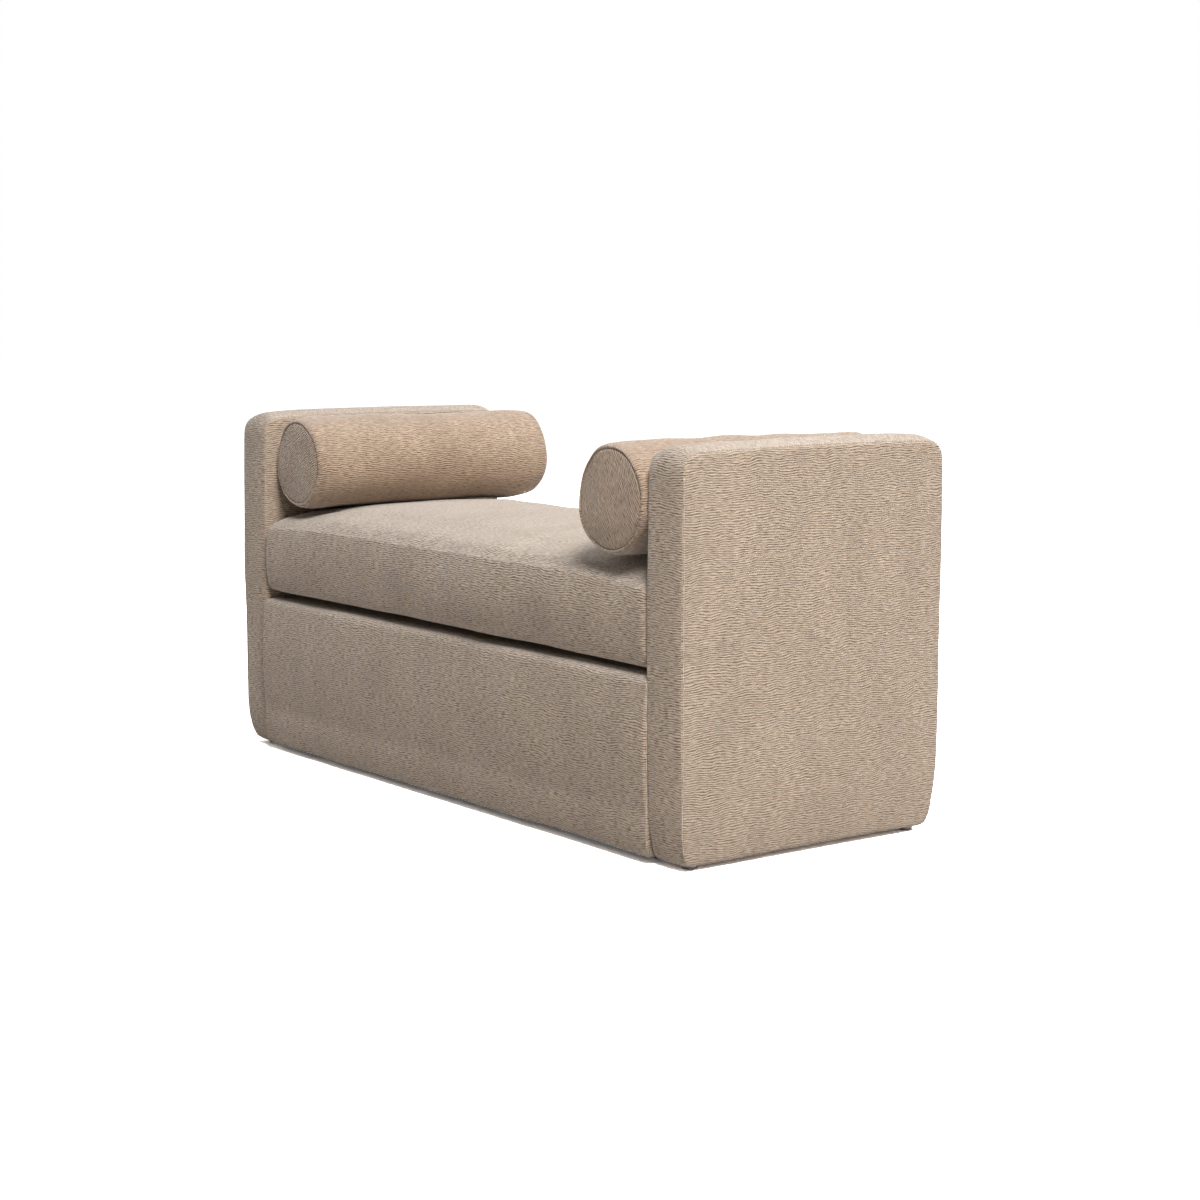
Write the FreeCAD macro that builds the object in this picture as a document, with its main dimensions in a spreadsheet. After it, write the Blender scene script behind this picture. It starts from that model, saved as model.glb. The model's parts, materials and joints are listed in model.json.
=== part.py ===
import FreeCAD, Part
import math
import os

import Sketcher

# Backless divan: a bench between two slab arms, with a loose seat cushion and two loose bolsters.
# Millimetres, Z up, X along the bench, front towards -Y. The origin is on the floor under the middle.

doc = FreeCAD.newDocument("backless_divan")

# Driving dimensions
driving = {
    "overall_length": 1520,
    "arm_depth": 606,
    "arm_height": 714,
    "arm_crown": 9,
    "arm_thickness": 96,
    "arm_side_bulge": 3,
    "arm_tuck": 12,
    "arm_tuck_height": 100,
    "arm_corner_radius": 30,
    "arm_edge_radius": 8,
    "foot_radius": 12,
    "arm_floor_gap": 9,
    "arm_edge_padding": 24,
    "arm_top_padding": 22,
    "arm_hem": 22,
    "base_floor_gap": 11,
    "deck_height": 328,
    "base_proud": 3,
    "base_bulge": 7,
    "base_top_radius": 14,
    "base_padding": 24,
    "base_hem": 44,
    "cloth": 1.5,
    "soft_gap": 0.3,
    "frame_lift": 3,
    "post_thickness": 45,
    "post_width": 60,
    "arm_rail_height": 38,
    "arm_board": 6,
    "end_panel_thickness": 18,
    "rail_thickness": 22,
    "seat_rail_height": 90,
    "floor_rail_height": 60,
    "base_board": 3,
    "upright_width": 45,
    "upright_spacing": 440,
    "cross_rail_height": 45,
    "corner_block_leg": 55,
    "corner_block_height": 60,
    "deck_cover": 1.2,
    "deck_pad": 12,
    "deck_cloth": 1,
    "dust_cover": 0.8,
    "spring_wire": 3.6,
    "spring_width": 52,
    "spring_pitch": 21,
    "spring_spacing": 115,
    "spring_clip": 1,
    "spring_clip_length": 24,
    "screw_radius": 2,
    "screw_length": 50,
    "screw_head_radius": 4,
    "bolt_radius": 4,
    "bolt_head_radius": 8.5,
    "bolt_head_height": 4,
    "bolt_rail_gap": 4,
    "bolt_low_height": 90,
    "bolt_block_gap": 12.5,
    "washer_radius": 11,
    "washer_thickness": 1.6,
    "tee_nut_flange_radius": 9.5,
    "tee_nut_flange": 1.5,
    "tee_nut_barrel_radius": 5.4,
    "tee_nut_barrel": 9,
    "fastener_gap": 0.1,
    "glide_radius": 14,
    "glide_chamfer": 1.5,
    "glide_hem_gap": 2,
    "glide_nail_radius": 1.6,
    "glide_nail_length": 22,
    "cushion_setback": 5,
    "cushion_side_gap": 2,
    "cushion_bulge": 7,
    "cushion_bottom_roll": 34,
    "cushion_boxing": 126,
    "cushion_top_roll": 33,
    "cushion_crown": 12,
    "cushion_bottom_roll_width": 38,
    "cushion_top_roll_width": 66,
    "cushion_end_radius": 24,
    "cushion_end_drop": 9,
    "cushion_wrap": 25,
    "bolster_radius": 95,
    "bolster_draw_in": 7,
    "bolster_setback": 13.5,
    "bolster_cap_dome": 5,
    "bolster_cap_button": 6,
    "bolster_taper_length": 45,
    "bolster_arm_gap": 1,
    "bolster_left_shift": 12,
    "bolster_right_shift": -20,
    "zip_width": 14,
    "zip_slider_length": 11,
    "zip_slider_width": 8,
    "zip_slider_height": 2.6,
    "zip_slider_radius": 1,
    "seat_zip_length": 900,
    "bolster_zip_length": 400,
}

sizes = doc.addObject("Spreadsheet::Sheet", "Sizes")
for row, (name, value) in enumerate(driving.items(), start=1):
    sizes.set(f"A{row}", str(value))
    sizes.setAlias(f"A{row}", name)
doc.recompute()

# Heights and places that follow from the driving dimensions
rules = {
    "layer": "Sizes.cloth + Sizes.soft_gap",
    "arm_inner_face": "Sizes.overall_length / 2 - Sizes.arm_thickness",
    "arm_middle": "Sizes.overall_length / 2 - Sizes.arm_thickness / 2",
    "arm_frame_bottom": "Sizes.arm_floor_gap + Sizes.frame_lift",
    "arm_frame_top": "Sizes.arm_height - Sizes.arm_top_padding",
    "arm_frame_height": "Layout.arm_frame_top - Layout.arm_frame_bottom",
    "arm_frame_depth": "Sizes.arm_depth - 2 * (Layout.layer + Sizes.arm_edge_padding)",
    "post_middle": "(Layout.arm_frame_depth - Sizes.post_width) / 2",
    "post_bottom": "Layout.arm_frame_bottom + Sizes.arm_rail_height",
    "post_height": "Layout.arm_frame_height - 2 * Sizes.arm_rail_height",
    "arm_board_offset": "(Sizes.post_thickness + Sizes.arm_board) / 2",
    "panel_face": "Layout.arm_middle - Sizes.post_thickness / 2 - Sizes.arm_board",
    "panel_middle": "Layout.panel_face - Sizes.end_panel_thickness / 2",
    "rail_end": "Layout.panel_face - Sizes.end_panel_thickness",
    "base_depth": "Sizes.arm_depth + 2 * Sizes.base_proud",
    "base_bottom": "Sizes.base_floor_gap + Layout.layer",
    "cloth_bottom": "Sizes.deck_height - Sizes.deck_cover - Sizes.deck_pad - Sizes.deck_cloth"
                    " - 2 * Sizes.soft_gap",
    "clip_top": "Layout.cloth_bottom - Sizes.soft_gap",
    "clip_height": "Sizes.spring_wire + 2 * (Sizes.spring_clip + Sizes.fastener_gap)",
    "rail_top": "Layout.clip_top - Layout.clip_height",
    "spring_height": "Layout.rail_top + Layout.clip_height / 2",
    "base_frame_depth": "Layout.base_depth - 2 * (Layout.layer + Sizes.base_padding)",
    "rail_middle": "Layout.base_frame_depth / 2 - Sizes.base_board - Sizes.rail_thickness / 2",
    "rail_inner": "Layout.rail_middle - Sizes.rail_thickness / 2",
    "bolt_along": "Layout.rail_inner - Sizes.washer_radius - Sizes.bolt_rail_gap",
    "block_bottom": "Layout.rail_top - Sizes.spring_wire - Sizes.corner_block_height",
    "bolt_high": "Layout.block_bottom - Sizes.bolt_block_gap - Sizes.washer_radius",
    "upright_bottom": "Layout.base_bottom + Sizes.floor_rail_height",
    "upright_height": "Layout.rail_top - Sizes.seat_rail_height - Layout.upright_bottom",
    "hem_edge": "Layout.base_depth / 2 - Sizes.base_hem",
    "cushion_depth": "Layout.base_depth - 2 * Sizes.cushion_setback",
    "cushion_bottom": "Sizes.deck_height + Sizes.soft_gap",
    "cushion_rise": "Sizes.cushion_bottom_roll + Sizes.cushion_boxing + Sizes.cushion_top_roll"
                    " + Sizes.cushion_crown",
    "cushion_end": "Layout.arm_inner_face - Sizes.cushion_side_gap",
    "bolster_across": "Layout.arm_inner_face - Sizes.bolster_arm_gap - Sizes.bolster_radius",
    "bolster_length": "Layout.cushion_depth - 2 * Sizes.bolster_setback",
    "glide_inset": "Sizes.arm_hem + Sizes.glide_hem_gap + Sizes.glide_radius",
    "glide_across": "Sizes.overall_length / 2 - Layout.glide_inset",
    "glide_along": "Sizes.arm_depth / 2 - Layout.glide_inset - Sizes.arm_tuck",
}
layout = doc.addObject("App::VarSet", "Layout")
for name, rule in rules.items():
    layout.addProperty("App::PropertyFloat", name, "Layout")
    layout.setExpression(name, rule)
doc.recompute()

Vector = FreeCAD.Vector
SIDES = {"left": -1, "right": 1}
ENDS = {"front": -1, "back": 1}
pieces = []


def size(name):
    """A driving dimension, read from the sheet."""
    return float(getattr(sizes, name))


def place(name):
    """A derived height or place."""
    return float(getattr(layout, name))


# Rectangular timber, board and cloth pieces

def block(label, middle, bottom, extent, keep=True):
    """A box that stands on bottom, centred on middle in plan."""
    piece = doc.addObject("Part::Box", label)
    piece.setExpression("Length", extent[0])
    piece.setExpression("Width", extent[1])
    piece.setExpression("Height", extent[2])
    piece.setExpression("Placement.Base.x", f"{middle[0]} - ({extent[0]}) / 2")
    piece.setExpression("Placement.Base.y", f"{middle[1]} - ({extent[1]}) / 2")
    piece.setExpression("Placement.Base.z", bottom)
    if keep:
        pieces.append(piece)
    return piece


def drilled(label, blank, tool):
    """A blank with every hole of the tool cut from it."""
    piece = doc.addObject("Part::Cut", label)
    piece.Base = blank
    piece.Tool = tool
    pieces.append(piece)
    return piece


def group(label, members):
    """Equal pieces that share one node, each still a solid of its own."""
    piece = doc.addObject("Part::Compound", label)
    piece.Links = members
    pieces.append(piece)
    return piece


def formed(label, shape, keep=True):
    """A piece whose form is worked out here from the sheet's sizes."""
    piece = doc.addObject("Part::Feature", label)
    piece.Shape = shape
    if keep:
        pieces.append(piece)
    return piece


# Outlines of lines and arcs

def wire(path, at):
    """Joins (u, v) points, or (u, v, bulge) where the way there bows out; at puts them in space."""
    edges = []
    for (u0, v0, *_), (u1, v1, *bulge) in zip(path, path[1:]):
        start = at(u0, v0)
        end = at(u1, v1)
        if bulge and bulge[0]:
            span = math.hypot(u1 - u0, v1 - v0)
            way = at((u0 + u1) / 2 + bulge[0] * (v1 - v0) / span,
                     (v0 + v1) / 2 - bulge[0] * (u1 - u0) / span)
            edges.append(Part.Arc(start, way, end).toShape())
        else:
            edges.append(Part.LineSegment(start, end).toShape())
    return Part.Wire(edges)


def whole(half):
    """A mirror-image outline from its right half, listed from bottom middle to top middle."""
    bulges = [point[2] if len(point) > 2 else 0 for point in half]
    left = [(-u, v, bulge) for (u, v, *_), bulge in zip(half[-2::-1], bulges[:0:-1])]
    return half + left


def quarter(radius):
    """How far a quarter circle stands off its chord."""
    return radius * (1 - math.cos(math.pi / 4))


def eased(rise):
    """The bow of an arc that starts level and has climbed by rise at its end."""
    return rise / 4


def box_between(low, high):
    """A plain box from its lowest to its highest corner."""
    extent = high - low
    return Part.makeBox(extent.x, extent.y, extent.z, low)


# Arms: one form, drawn in by the given depth, gives the cover's outside and all that lies within

def arm_form(sign, inset):
    half = size("arm_depth") / 2 - inset
    bulge = size("arm_side_bulge")
    bottom = size("arm_floor_gap") + inset
    seam = size("arm_height") - inset
    crown = size("arm_crown")
    tuck = size("arm_tuck")
    foot = size("foot_radius") - inset
    corner = size("arm_corner_radius") - inset
    edge = size("arm_edge_radius") - inset / 2
    tuck_top = bottom + size("arm_tuck_height")
    slack = 1
    peak = seam + crown + slack
    inner = place("arm_inner_face")
    near = inset
    far = size("arm_thickness") - inset
    side = whole([
        (0, bottom),
        (half - tuck - foot, bottom),
        (half - tuck, bottom + foot, quarter(foot)),
        (half - bulge, tuck_top, eased(tuck - bulge)),
        (half - bulge, peak - corner, bulge),
        (half - bulge - corner, peak, quarter(corner)),
        (0, peak),
    ])
    front = [
        (near, bottom),
        (far - tuck - foot, bottom),
        (far - tuck, bottom + foot, quarter(foot)),
        (far - bulge, tuck_top, eased(tuck - bulge)),
        (far - bulge, seam, bulge),
        (near, seam, crown),
        (near, bottom),
    ]
    plan = [
        (near - slack, half - edge),
        (near - slack, edge - half),
        (near + edge, -half - slack, quarter(edge + slack)),
        (far - edge, -half - slack),
        (far + slack, edge - half, quarter(edge + slack)),
        (far + slack, half - edge),
        (far - edge, half + slack, quarter(edge + slack)),
        (near + edge, half + slack),
        (near - slack, half - edge, quarter(edge + slack)),
    ]
    side_slab = Part.Face(wire(side, lambda u, v: Vector(sign * (inner - slack), u, v)))
    front_slab = Part.Face(wire(front, lambda u, v: Vector(sign * (inner + u), -half - slack, v)))
    plan_slab = Part.Face(wire(plan, lambda u, v: Vector(sign * (inner + u), v, bottom - slack)))
    form = side_slab.extrude(Vector(sign * (size("arm_thickness") + 2 * slack), 0, 0))
    form = form.common(front_slab.extrude(Vector(0, 2 * (half + slack), 0)))
    return form.common(plan_slab.extrude(Vector(0, 0, peak - bottom + 2 * slack)))


def arm_window(sign):
    """The opening in the arm's inner side that lets the base frame reach the arm's board."""
    low = Vector(place("arm_inner_face") - 1, -place("base_frame_depth") / 2 - size("soft_gap"), 0)
    high = Vector(place("panel_face"), place("base_frame_depth") / 2 + size("soft_gap"),
                  place("rail_top") + size("soft_gap"))
    window = box_between(low, high)
    return window if sign > 0 else window.mirror(Vector(0, 0, 0), Vector(1, 0, 0))


def arm_core(sign):
    """The space that the arm's frame and boards fill, open towards the floor."""
    half = size("post_thickness") / 2 + size("arm_board")
    low = Vector(sign * place("arm_middle") - half, -place("arm_frame_depth") / 2, 0)
    high = Vector(sign * place("arm_middle") + half, place("arm_frame_depth") / 2,
                  place("arm_frame_top"))
    return box_between(low, high)


def hem_opening(sign):
    """The cover's open underside, inside its turned-under hem."""
    half_x = size("arm_thickness") / 2 - size("arm_hem")
    half_y = size("arm_depth") / 2 - size("arm_tuck") - size("arm_hem")
    middle = Vector(sign * place("arm_middle"), 0, 0)
    top = place("arm_frame_bottom")
    return box_between(middle + Vector(-half_x, -half_y, 0), middle + Vector(half_x, half_y, top))


# Nails of the floor glides, driven up into the arms' bottom rails
glide_places = [
    Vector(sign * place("glide_across"), along * place("glide_along"), 0)
    for sign in SIDES.values()
    for along in ENDS.values()
]


def glide_nail(gap):
    """A nail from the middle of the glide's height up, or with a gap the hole for it."""
    return Part.makeCylinder(size("glide_nail_radius") + gap, size("glide_nail_length") + gap,
                             Vector(0, 0, place("arm_frame_bottom") / 2))


formed("glide_nails", Part.makeCompound([glide_nail(0).translated(spot) for spot in glide_places]))
nail_holes = formed("nail_holes", Part.makeCompound([
    glide_nail(size("fastener_gap")).translated(spot) for spot in glide_places]), keep=False)

# Bolts that hold each arm to the base: from inside the end panel to a tee nut in the arm's post
bolt_seat = place("rail_end")
nut_face = place("arm_middle") + size("post_thickness") / 2
bolt_rows = [
    (end * place("bolt_along"), height)
    for end in ENDS.values()
    for height in (size("bolt_low_height"), place("bolt_high"))
]


def bored(outer, inner, start, length):
    """A ring or, with no inner radius, a rod along +X."""
    solid = Part.makeCylinder(outer, length, Vector(start, 0, 0), Vector(1, 0, 0))
    if inner:
        solid = solid.cut(Part.makeCylinder(inner, length, Vector(start, 0, 0), Vector(1, 0, 0)))
    return solid


def bolt_shape():
    radius = size("bolt_radius")
    head = size("bolt_head_height")
    seat = bolt_seat - size("washer_thickness")
    end = nut_face
    socket = Part.Face(Part.makePolygon([
        Vector(seat - head, radius * math.cos(math.radians(60 * corner)),
               radius * math.sin(math.radians(60 * corner)))
        for corner in range(7)
    ]))
    shape = bored(size("bolt_head_radius"), 0, seat - head, head)
    shape = shape.fuse(bored(radius, 0, seat, end - seat))
    return shape.cut(socket.extrude(Vector(head / 2, 0, 0)))


def washer_shape():
    thickness = size("washer_thickness")
    bore = size("bolt_radius") + size("fastener_gap")
    return bored(size("washer_radius"), bore, bolt_seat - thickness, thickness)


def tee_nut_shape():
    bore = size("bolt_radius") + size("fastener_gap")
    flange = size("tee_nut_flange")
    barrel = size("tee_nut_barrel")
    shape = bored(size("tee_nut_flange_radius"), bore, nut_face - flange, flange)
    return shape.fuse(bored(size("tee_nut_barrel_radius"), bore, nut_face - flange - barrel, barrel))


def bolt_hole_shape():
    gap = size("fastener_gap")
    flange = size("tee_nut_flange")
    barrel = size("tee_nut_barrel")
    shape = bored(size("bolt_radius") + gap, 0, bolt_seat, nut_face - bolt_seat)
    shape = shape.fuse(bored(size("tee_nut_barrel_radius") + gap, 0, nut_face - flange - barrel - gap,
                             barrel + gap))
    return shape.fuse(bored(size("tee_nut_flange_radius") + gap, 0, nut_face - flange - gap,
                            flange + gap))


def at_bolts(shape, sign):
    """Copies at every bolt of one arm."""
    copies = [shape.translated(Vector(0, y, z)) for y, z in bolt_rows]
    if sign < 0:
        copies = [copy.mirror(Vector(0, 0, 0), Vector(1, 0, 0)) for copy in copies]
    return copies


def both_arms(label, shape):
    formed(label, Part.makeCompound(at_bolts(shape, -1) + at_bolts(shape, 1)))


both_arms("arm_bolts", bolt_shape())
both_arms("arm_bolt_washers", washer_shape())
both_arms("arm_tee_nuts", tee_nut_shape())

for side, sign in SIDES.items():
    middle = f"{sign} * Layout.arm_middle"
    bolt_holes = formed(f"{side}_bolt_holes", Part.makeCompound(at_bolts(bolt_hole_shape(), sign)),
                        keep=False)
    for end, along in ENDS.items():
        blank = block(f"{side}_{end}_post_blank", (middle, f"{along} * Layout.post_middle"),
                      "Layout.post_bottom",
                      ("Sizes.post_thickness", "Sizes.post_width", "Layout.post_height"), keep=False)
        drilled(f"arm_{side}_{end}_post", blank, bolt_holes)
    blank = block(f"{side}_bottom_rail_blank", (middle, "0"), "Layout.arm_frame_bottom",
                  ("Sizes.post_thickness", "Layout.arm_frame_depth", "Sizes.arm_rail_height"),
                  keep=False)
    drilled(f"arm_{side}_bottom_rail", blank, nail_holes)
    block(f"arm_{side}_top_rail", (middle, "0"), "Layout.arm_frame_top - Sizes.arm_rail_height",
          ("Sizes.post_thickness", "Layout.arm_frame_depth", "Sizes.arm_rail_height"))
    block(f"arm_{side}_middle_rail", (middle, "0"), "Layout.rail_top - Sizes.arm_rail_height",
          ("Sizes.post_thickness", "Layout.arm_frame_depth - 2 * Sizes.post_width",
           "Sizes.arm_rail_height"))
    board = ("Sizes.arm_board", "Layout.arm_frame_depth", "Layout.arm_frame_height")
    block(f"arm_{side}_outer_board", (f"{middle} + {sign} * Layout.arm_board_offset", "0"),
          "Layout.arm_frame_bottom", board)
    blank = block(f"{side}_inner_board_blank", (f"{middle} - {sign} * Layout.arm_board_offset", "0"),
                  "Layout.arm_frame_bottom", board, keep=False)
    drilled(f"arm_{side}_inner_board", blank, bolt_holes)
    padding = arm_form(sign, place("layer")).cut([arm_core(sign), arm_window(sign)])
    formed(f"arm_{side}_padding", padding)
    cover = arm_form(sign, 0).cut([arm_form(sign, size("cloth")), hem_opening(sign),
                                   arm_window(sign)])
    formed(f"arm_{side}_cover", cover)

# Base frame: end panels, seat rails and floor rails, screwed together through the panels
screw_rows = [
    (end * place("rail_middle"), height)
    for end in ENDS.values()
    for height in (
        place("base_bottom") + size("floor_rail_height") / 4,
        place("base_bottom") + size("floor_rail_height") * 3 / 4,
        place("rail_top") - size("seat_rail_height") * 3 / 4,
        place("rail_top") - size("seat_rail_height") / 4,
    )
]


def screw_shape(gap):
    """A countersunk screw along X, its head flush with the panel's outer face."""
    radius = size("screw_radius") + gap
    head = size("screw_head_radius") + gap
    face = place("panel_face")
    inward = Vector(-1, 0, 0)
    shank = Part.makeCylinder(radius, size("screw_length") + gap, Vector(face, 0, 0), inward)
    cone = Part.makeCone(head, radius, head - radius, Vector(face, 0, 0), inward)
    return shank.fuse(cone)


def at_screws(shape):
    right = [shape.translated(Vector(0, y, z)) for y, z in screw_rows]
    return right + [copy.mirror(Vector(0, 0, 0), Vector(1, 0, 0)) for copy in right]


formed("frame_screws", Part.makeCompound(at_screws(screw_shape(0))))
screw_holes = formed("screw_holes", Part.makeCompound(at_screws(screw_shape(size("fastener_gap")))),
                     keep=False)
panel_holes = formed(
    "panel_holes",
    Part.makeCompound(at_screws(screw_shape(size("fastener_gap")))
                      + at_bolts(bolt_hole_shape(), -1) + at_bolts(bolt_hole_shape(), 1)),
    keep=False)

for side, sign in SIDES.items():
    blank = block(f"{side}_end_panel_blank", (f"{sign} * Layout.panel_middle", "0"),
                  "Layout.base_bottom",
                  ("Sizes.end_panel_thickness", "Layout.base_frame_depth",
                   "Layout.rail_top - Layout.base_bottom"), keep=False)
    drilled(f"base_{side}_end_panel", blank, panel_holes)

for end, along in ENDS.items():
    middle = ("0", f"{along} * Layout.rail_middle")
    blank = block(f"{end}_seat_rail_blank", middle, "Layout.rail_top - Sizes.seat_rail_height",
                  ("2 * Layout.rail_end", "Sizes.rail_thickness", "Sizes.seat_rail_height"),
                  keep=False)
    drilled(f"base_{end}_seat_rail", blank, screw_holes)
    blank = block(f"{end}_floor_rail_blank", middle, "Layout.base_bottom",
                  ("2 * Layout.rail_end", "Sizes.rail_thickness", "Sizes.floor_rail_height"),
                  keep=False)
    drilled(f"base_{end}_floor_rail", blank, screw_holes)
    block(f"base_{end}_board",
          ("0", f"{along} * (Layout.base_frame_depth / 2 - Sizes.base_board / 2)"),
          "Layout.base_bottom",
          ("2 * Layout.rail_end", "Sizes.base_board", "Layout.rail_top - Layout.base_bottom"))

group("base_uprights", [
    block(f"upright_{end}_{side}",
          (f"{sign} * Sizes.upright_spacing / 2", f"{along} * Layout.rail_middle"),
          "Layout.upright_bottom",
          ("Sizes.upright_width", "Sizes.rail_thickness", "Layout.upright_height"), keep=False)
    for end, along in ENDS.items()
    for side, sign in SIDES.items()
])
group("base_cross_rails", [
    block(f"cross_rail_{side}", (f"{sign} * Sizes.upright_spacing / 2", "0"), "Layout.base_bottom",
          ("Sizes.rail_thickness", "2 * Layout.rail_inner", "Sizes.cross_rail_height"), keep=False)
    for side, sign in SIDES.items()
])


# Corner blocks: triangular prisms glued in under the seat rails

def corner_block():
    body = doc.addObject("PartDesign::Body", "corner_block")
    plane = next(item for item in body.Origin.OriginFeatures if item.Role == "XY_Plane")
    sketch = body.newObject("Sketcher::SketchObject", "corner_block_outline")
    sketch.AttachmentSupport = (plane, [""])
    sketch.MapMode = "FlatFace"
    leg = size("corner_block_leg")
    corners = [Vector(0, 0, 0), Vector(leg, 0, 0), Vector(0, leg, 0)]
    for number in range(3):
        sketch.addGeometry(Part.LineSegment(corners[number], corners[(number + 1) % 3]))
    for number in range(3):
        sketch.addConstraint(Sketcher.Constraint("Coincident", number, 2, (number + 1) % 3, 1))
    sketch.addConstraint(Sketcher.Constraint("Coincident", 0, 1, -1, 1))
    sketch.addConstraint(Sketcher.Constraint("Horizontal", 0))
    sketch.addConstraint(Sketcher.Constraint("Vertical", 2))
    for line, name in ((0, "leg_along"), (2, "leg_across")):
        index = sketch.addConstraint(Sketcher.Constraint("Distance", line, leg))
        sketch.renameConstraint(index, name)
        sketch.setExpression(f"Constraints.{name}", "Sizes.corner_block_leg")
    pad = body.newObject("PartDesign::Pad", "corner_block_height")
    pad.Profile = sketch
    pad.setExpression("Length", "Sizes.corner_block_height")
    doc.recompute()
    return body.Shape.copy()


corner = corner_block()
corner.translate(Vector(-place("rail_end"), -place("rail_inner"),
                        place("block_bottom")))
mirrored = corner.mirror(Vector(0, 0, 0), Vector(1, 0, 0))
formed("base_corner_blocks", Part.makeCompound([
    corner,
    mirrored,
    corner.mirror(Vector(0, 0, 0), Vector(0, 1, 0)),
    mirrored.mirror(Vector(0, 0, 0), Vector(0, 1, 0)),
]))


# Zigzag springs: round wire in half-circle turns, from the front seat rail to the back one

def spring_rows():
    """The middles of the springs along the bench."""
    room = 2 * (place("rail_end") - size("spring_width") / 2 - size("rail_thickness"))
    gaps = max(1, int(room / size("spring_spacing")))
    first = -gaps * size("spring_spacing") / 2
    return [first + number * size("spring_spacing") for number in range(gaps + 1)]


def zigzag(middle):
    turn = size("spring_pitch") / 2
    reach = size("spring_width") / 2 - turn
    bars = int(2 * place("rail_middle") / size("spring_pitch")) + 1
    start = -(bars - 1) * size("spring_pitch") / 2
    height = place("spring_height")
    edges = []
    for bar in range(bars):
        y = start + bar * size("spring_pitch")
        way = 1 if bar % 2 == 0 else -1
        edges.append(Part.LineSegment(Vector(middle - way * reach, y, height),
                                      Vector(middle + way * reach, y, height)).toShape())
        if bar < bars - 1:
            edges.append(Part.Arc(
                Vector(middle + way * reach, y, height),
                Vector(middle + way * (reach + turn), y + turn, height),
                Vector(middle + way * reach, y + 2 * turn, height)).toShape())
    section = Part.Wire(Part.makeCircle(size("spring_wire") / 2,
                                        Vector(middle - reach, start, height), Vector(1, 0, 0)))
    return Part.Wire(edges).makePipeShell([section], True, False), -start


springs = [zigzag(middle) for middle in spring_rows()]
formed("seat_springs", Part.makeCompound([spring for spring, _ in springs]))
spring_end = springs[0][1]


def spring_clip(middle, along):
    """A steel clip folded round the spring's last bar, open towards the seat's middle."""
    wall = size("spring_clip")
    gap = size("fastener_gap")
    wire_radius = size("spring_wire") / 2
    half = size("spring_clip_length") / 2
    height = place("clip_height")
    bottom = place("rail_top")
    outer = box_between(Vector(middle - half, -wire_radius - gap, bottom),
                        Vector(middle + half, wire_radius + gap + wall, bottom + height))
    inner = box_between(Vector(middle - half, -wire_radius - gap, bottom + wall),
                        Vector(middle + half, wire_radius + gap, bottom + height - wall))
    clip = outer.cut(inner)
    clip.translate(Vector(0, spring_end, 0))
    return clip if along > 0 else clip.mirror(Vector(0, 0, 0), Vector(0, 1, 0))


formed("spring_clips", Part.makeCompound([
    spring_clip(middle, along) for middle in spring_rows() for along in ENDS.values()
]))

# Deck over the springs, and the dust cover under the frame
deck_plan = ("2 * (Layout.arm_inner_face - Sizes.soft_gap)", "2 * (Layout.hem_edge - Sizes.soft_gap)")
block("deck_cloth", ("0", "0"), "Layout.cloth_bottom", (*deck_plan, "Sizes.deck_cloth"))
block("deck_pad", ("0", "0"), "Layout.cloth_bottom + Sizes.deck_cloth + Sizes.soft_gap",
      (*deck_plan, "Sizes.deck_pad"))
block("deck_cover", ("0", "0"), "Sizes.deck_height - Sizes.deck_cover",
      (*deck_plan, "Sizes.deck_cover"))
block("dust_cover", ("0", "0"), "Sizes.base_floor_gap - Sizes.soft_gap - Sizes.dust_cover",
      (deck_plan[0], "Layout.base_frame_depth", "Sizes.dust_cover"))


# Base padding and covers: one pillowed form between the arms, split into a front and a back

def base_form(inset):
    half = place("base_depth") / 2 - inset
    bottom = size("base_floor_gap") + inset
    top = size("deck_height") - inset
    foot = size("foot_radius") - inset / 2
    shoulder = size("base_top_radius") - inset / 2
    reach = place("arm_inner_face") - size("soft_gap")
    outline = whole([
        (0, bottom),
        (half - foot, bottom),
        (half, bottom + foot, quarter(foot)),
        (half, top - shoulder, size("base_bulge")),
        (half - shoulder, top, quarter(shoulder)),
        (0, top),
    ])
    return Part.Face(wire(outline, lambda u, v: Vector(-reach, u, v))).extrude(Vector(2 * reach, 0, 0))


def base_half(along):
    """The part of the base in front of, or behind, the hems' edges."""
    reach = place("arm_inner_face")
    beyond = place("base_depth")
    room = box_between(Vector(-reach, place("hem_edge"), 0),
                       Vector(reach, beyond, size("deck_height") + 1))
    return room if along > 0 else room.mirror(Vector(0, 0, 0), Vector(0, 1, 0))


base_core = box_between(
    Vector(-place("arm_inner_face"), -place("base_frame_depth") / 2, 0),
    Vector(place("arm_inner_face"), place("base_frame_depth") / 2, place("cloth_bottom")))
for end, along in ENDS.items():
    padding = base_form(place("layer")).cut(base_core).common(base_half(along))
    formed(f"base_{end}_padding", padding)
    cover = base_form(0).cut(base_form(size("cloth"))).common(base_half(along))
    formed(f"base_{end}_cover", cover)


# Floor glides: a plastic disc under each corner, moulded on a nail

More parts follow.
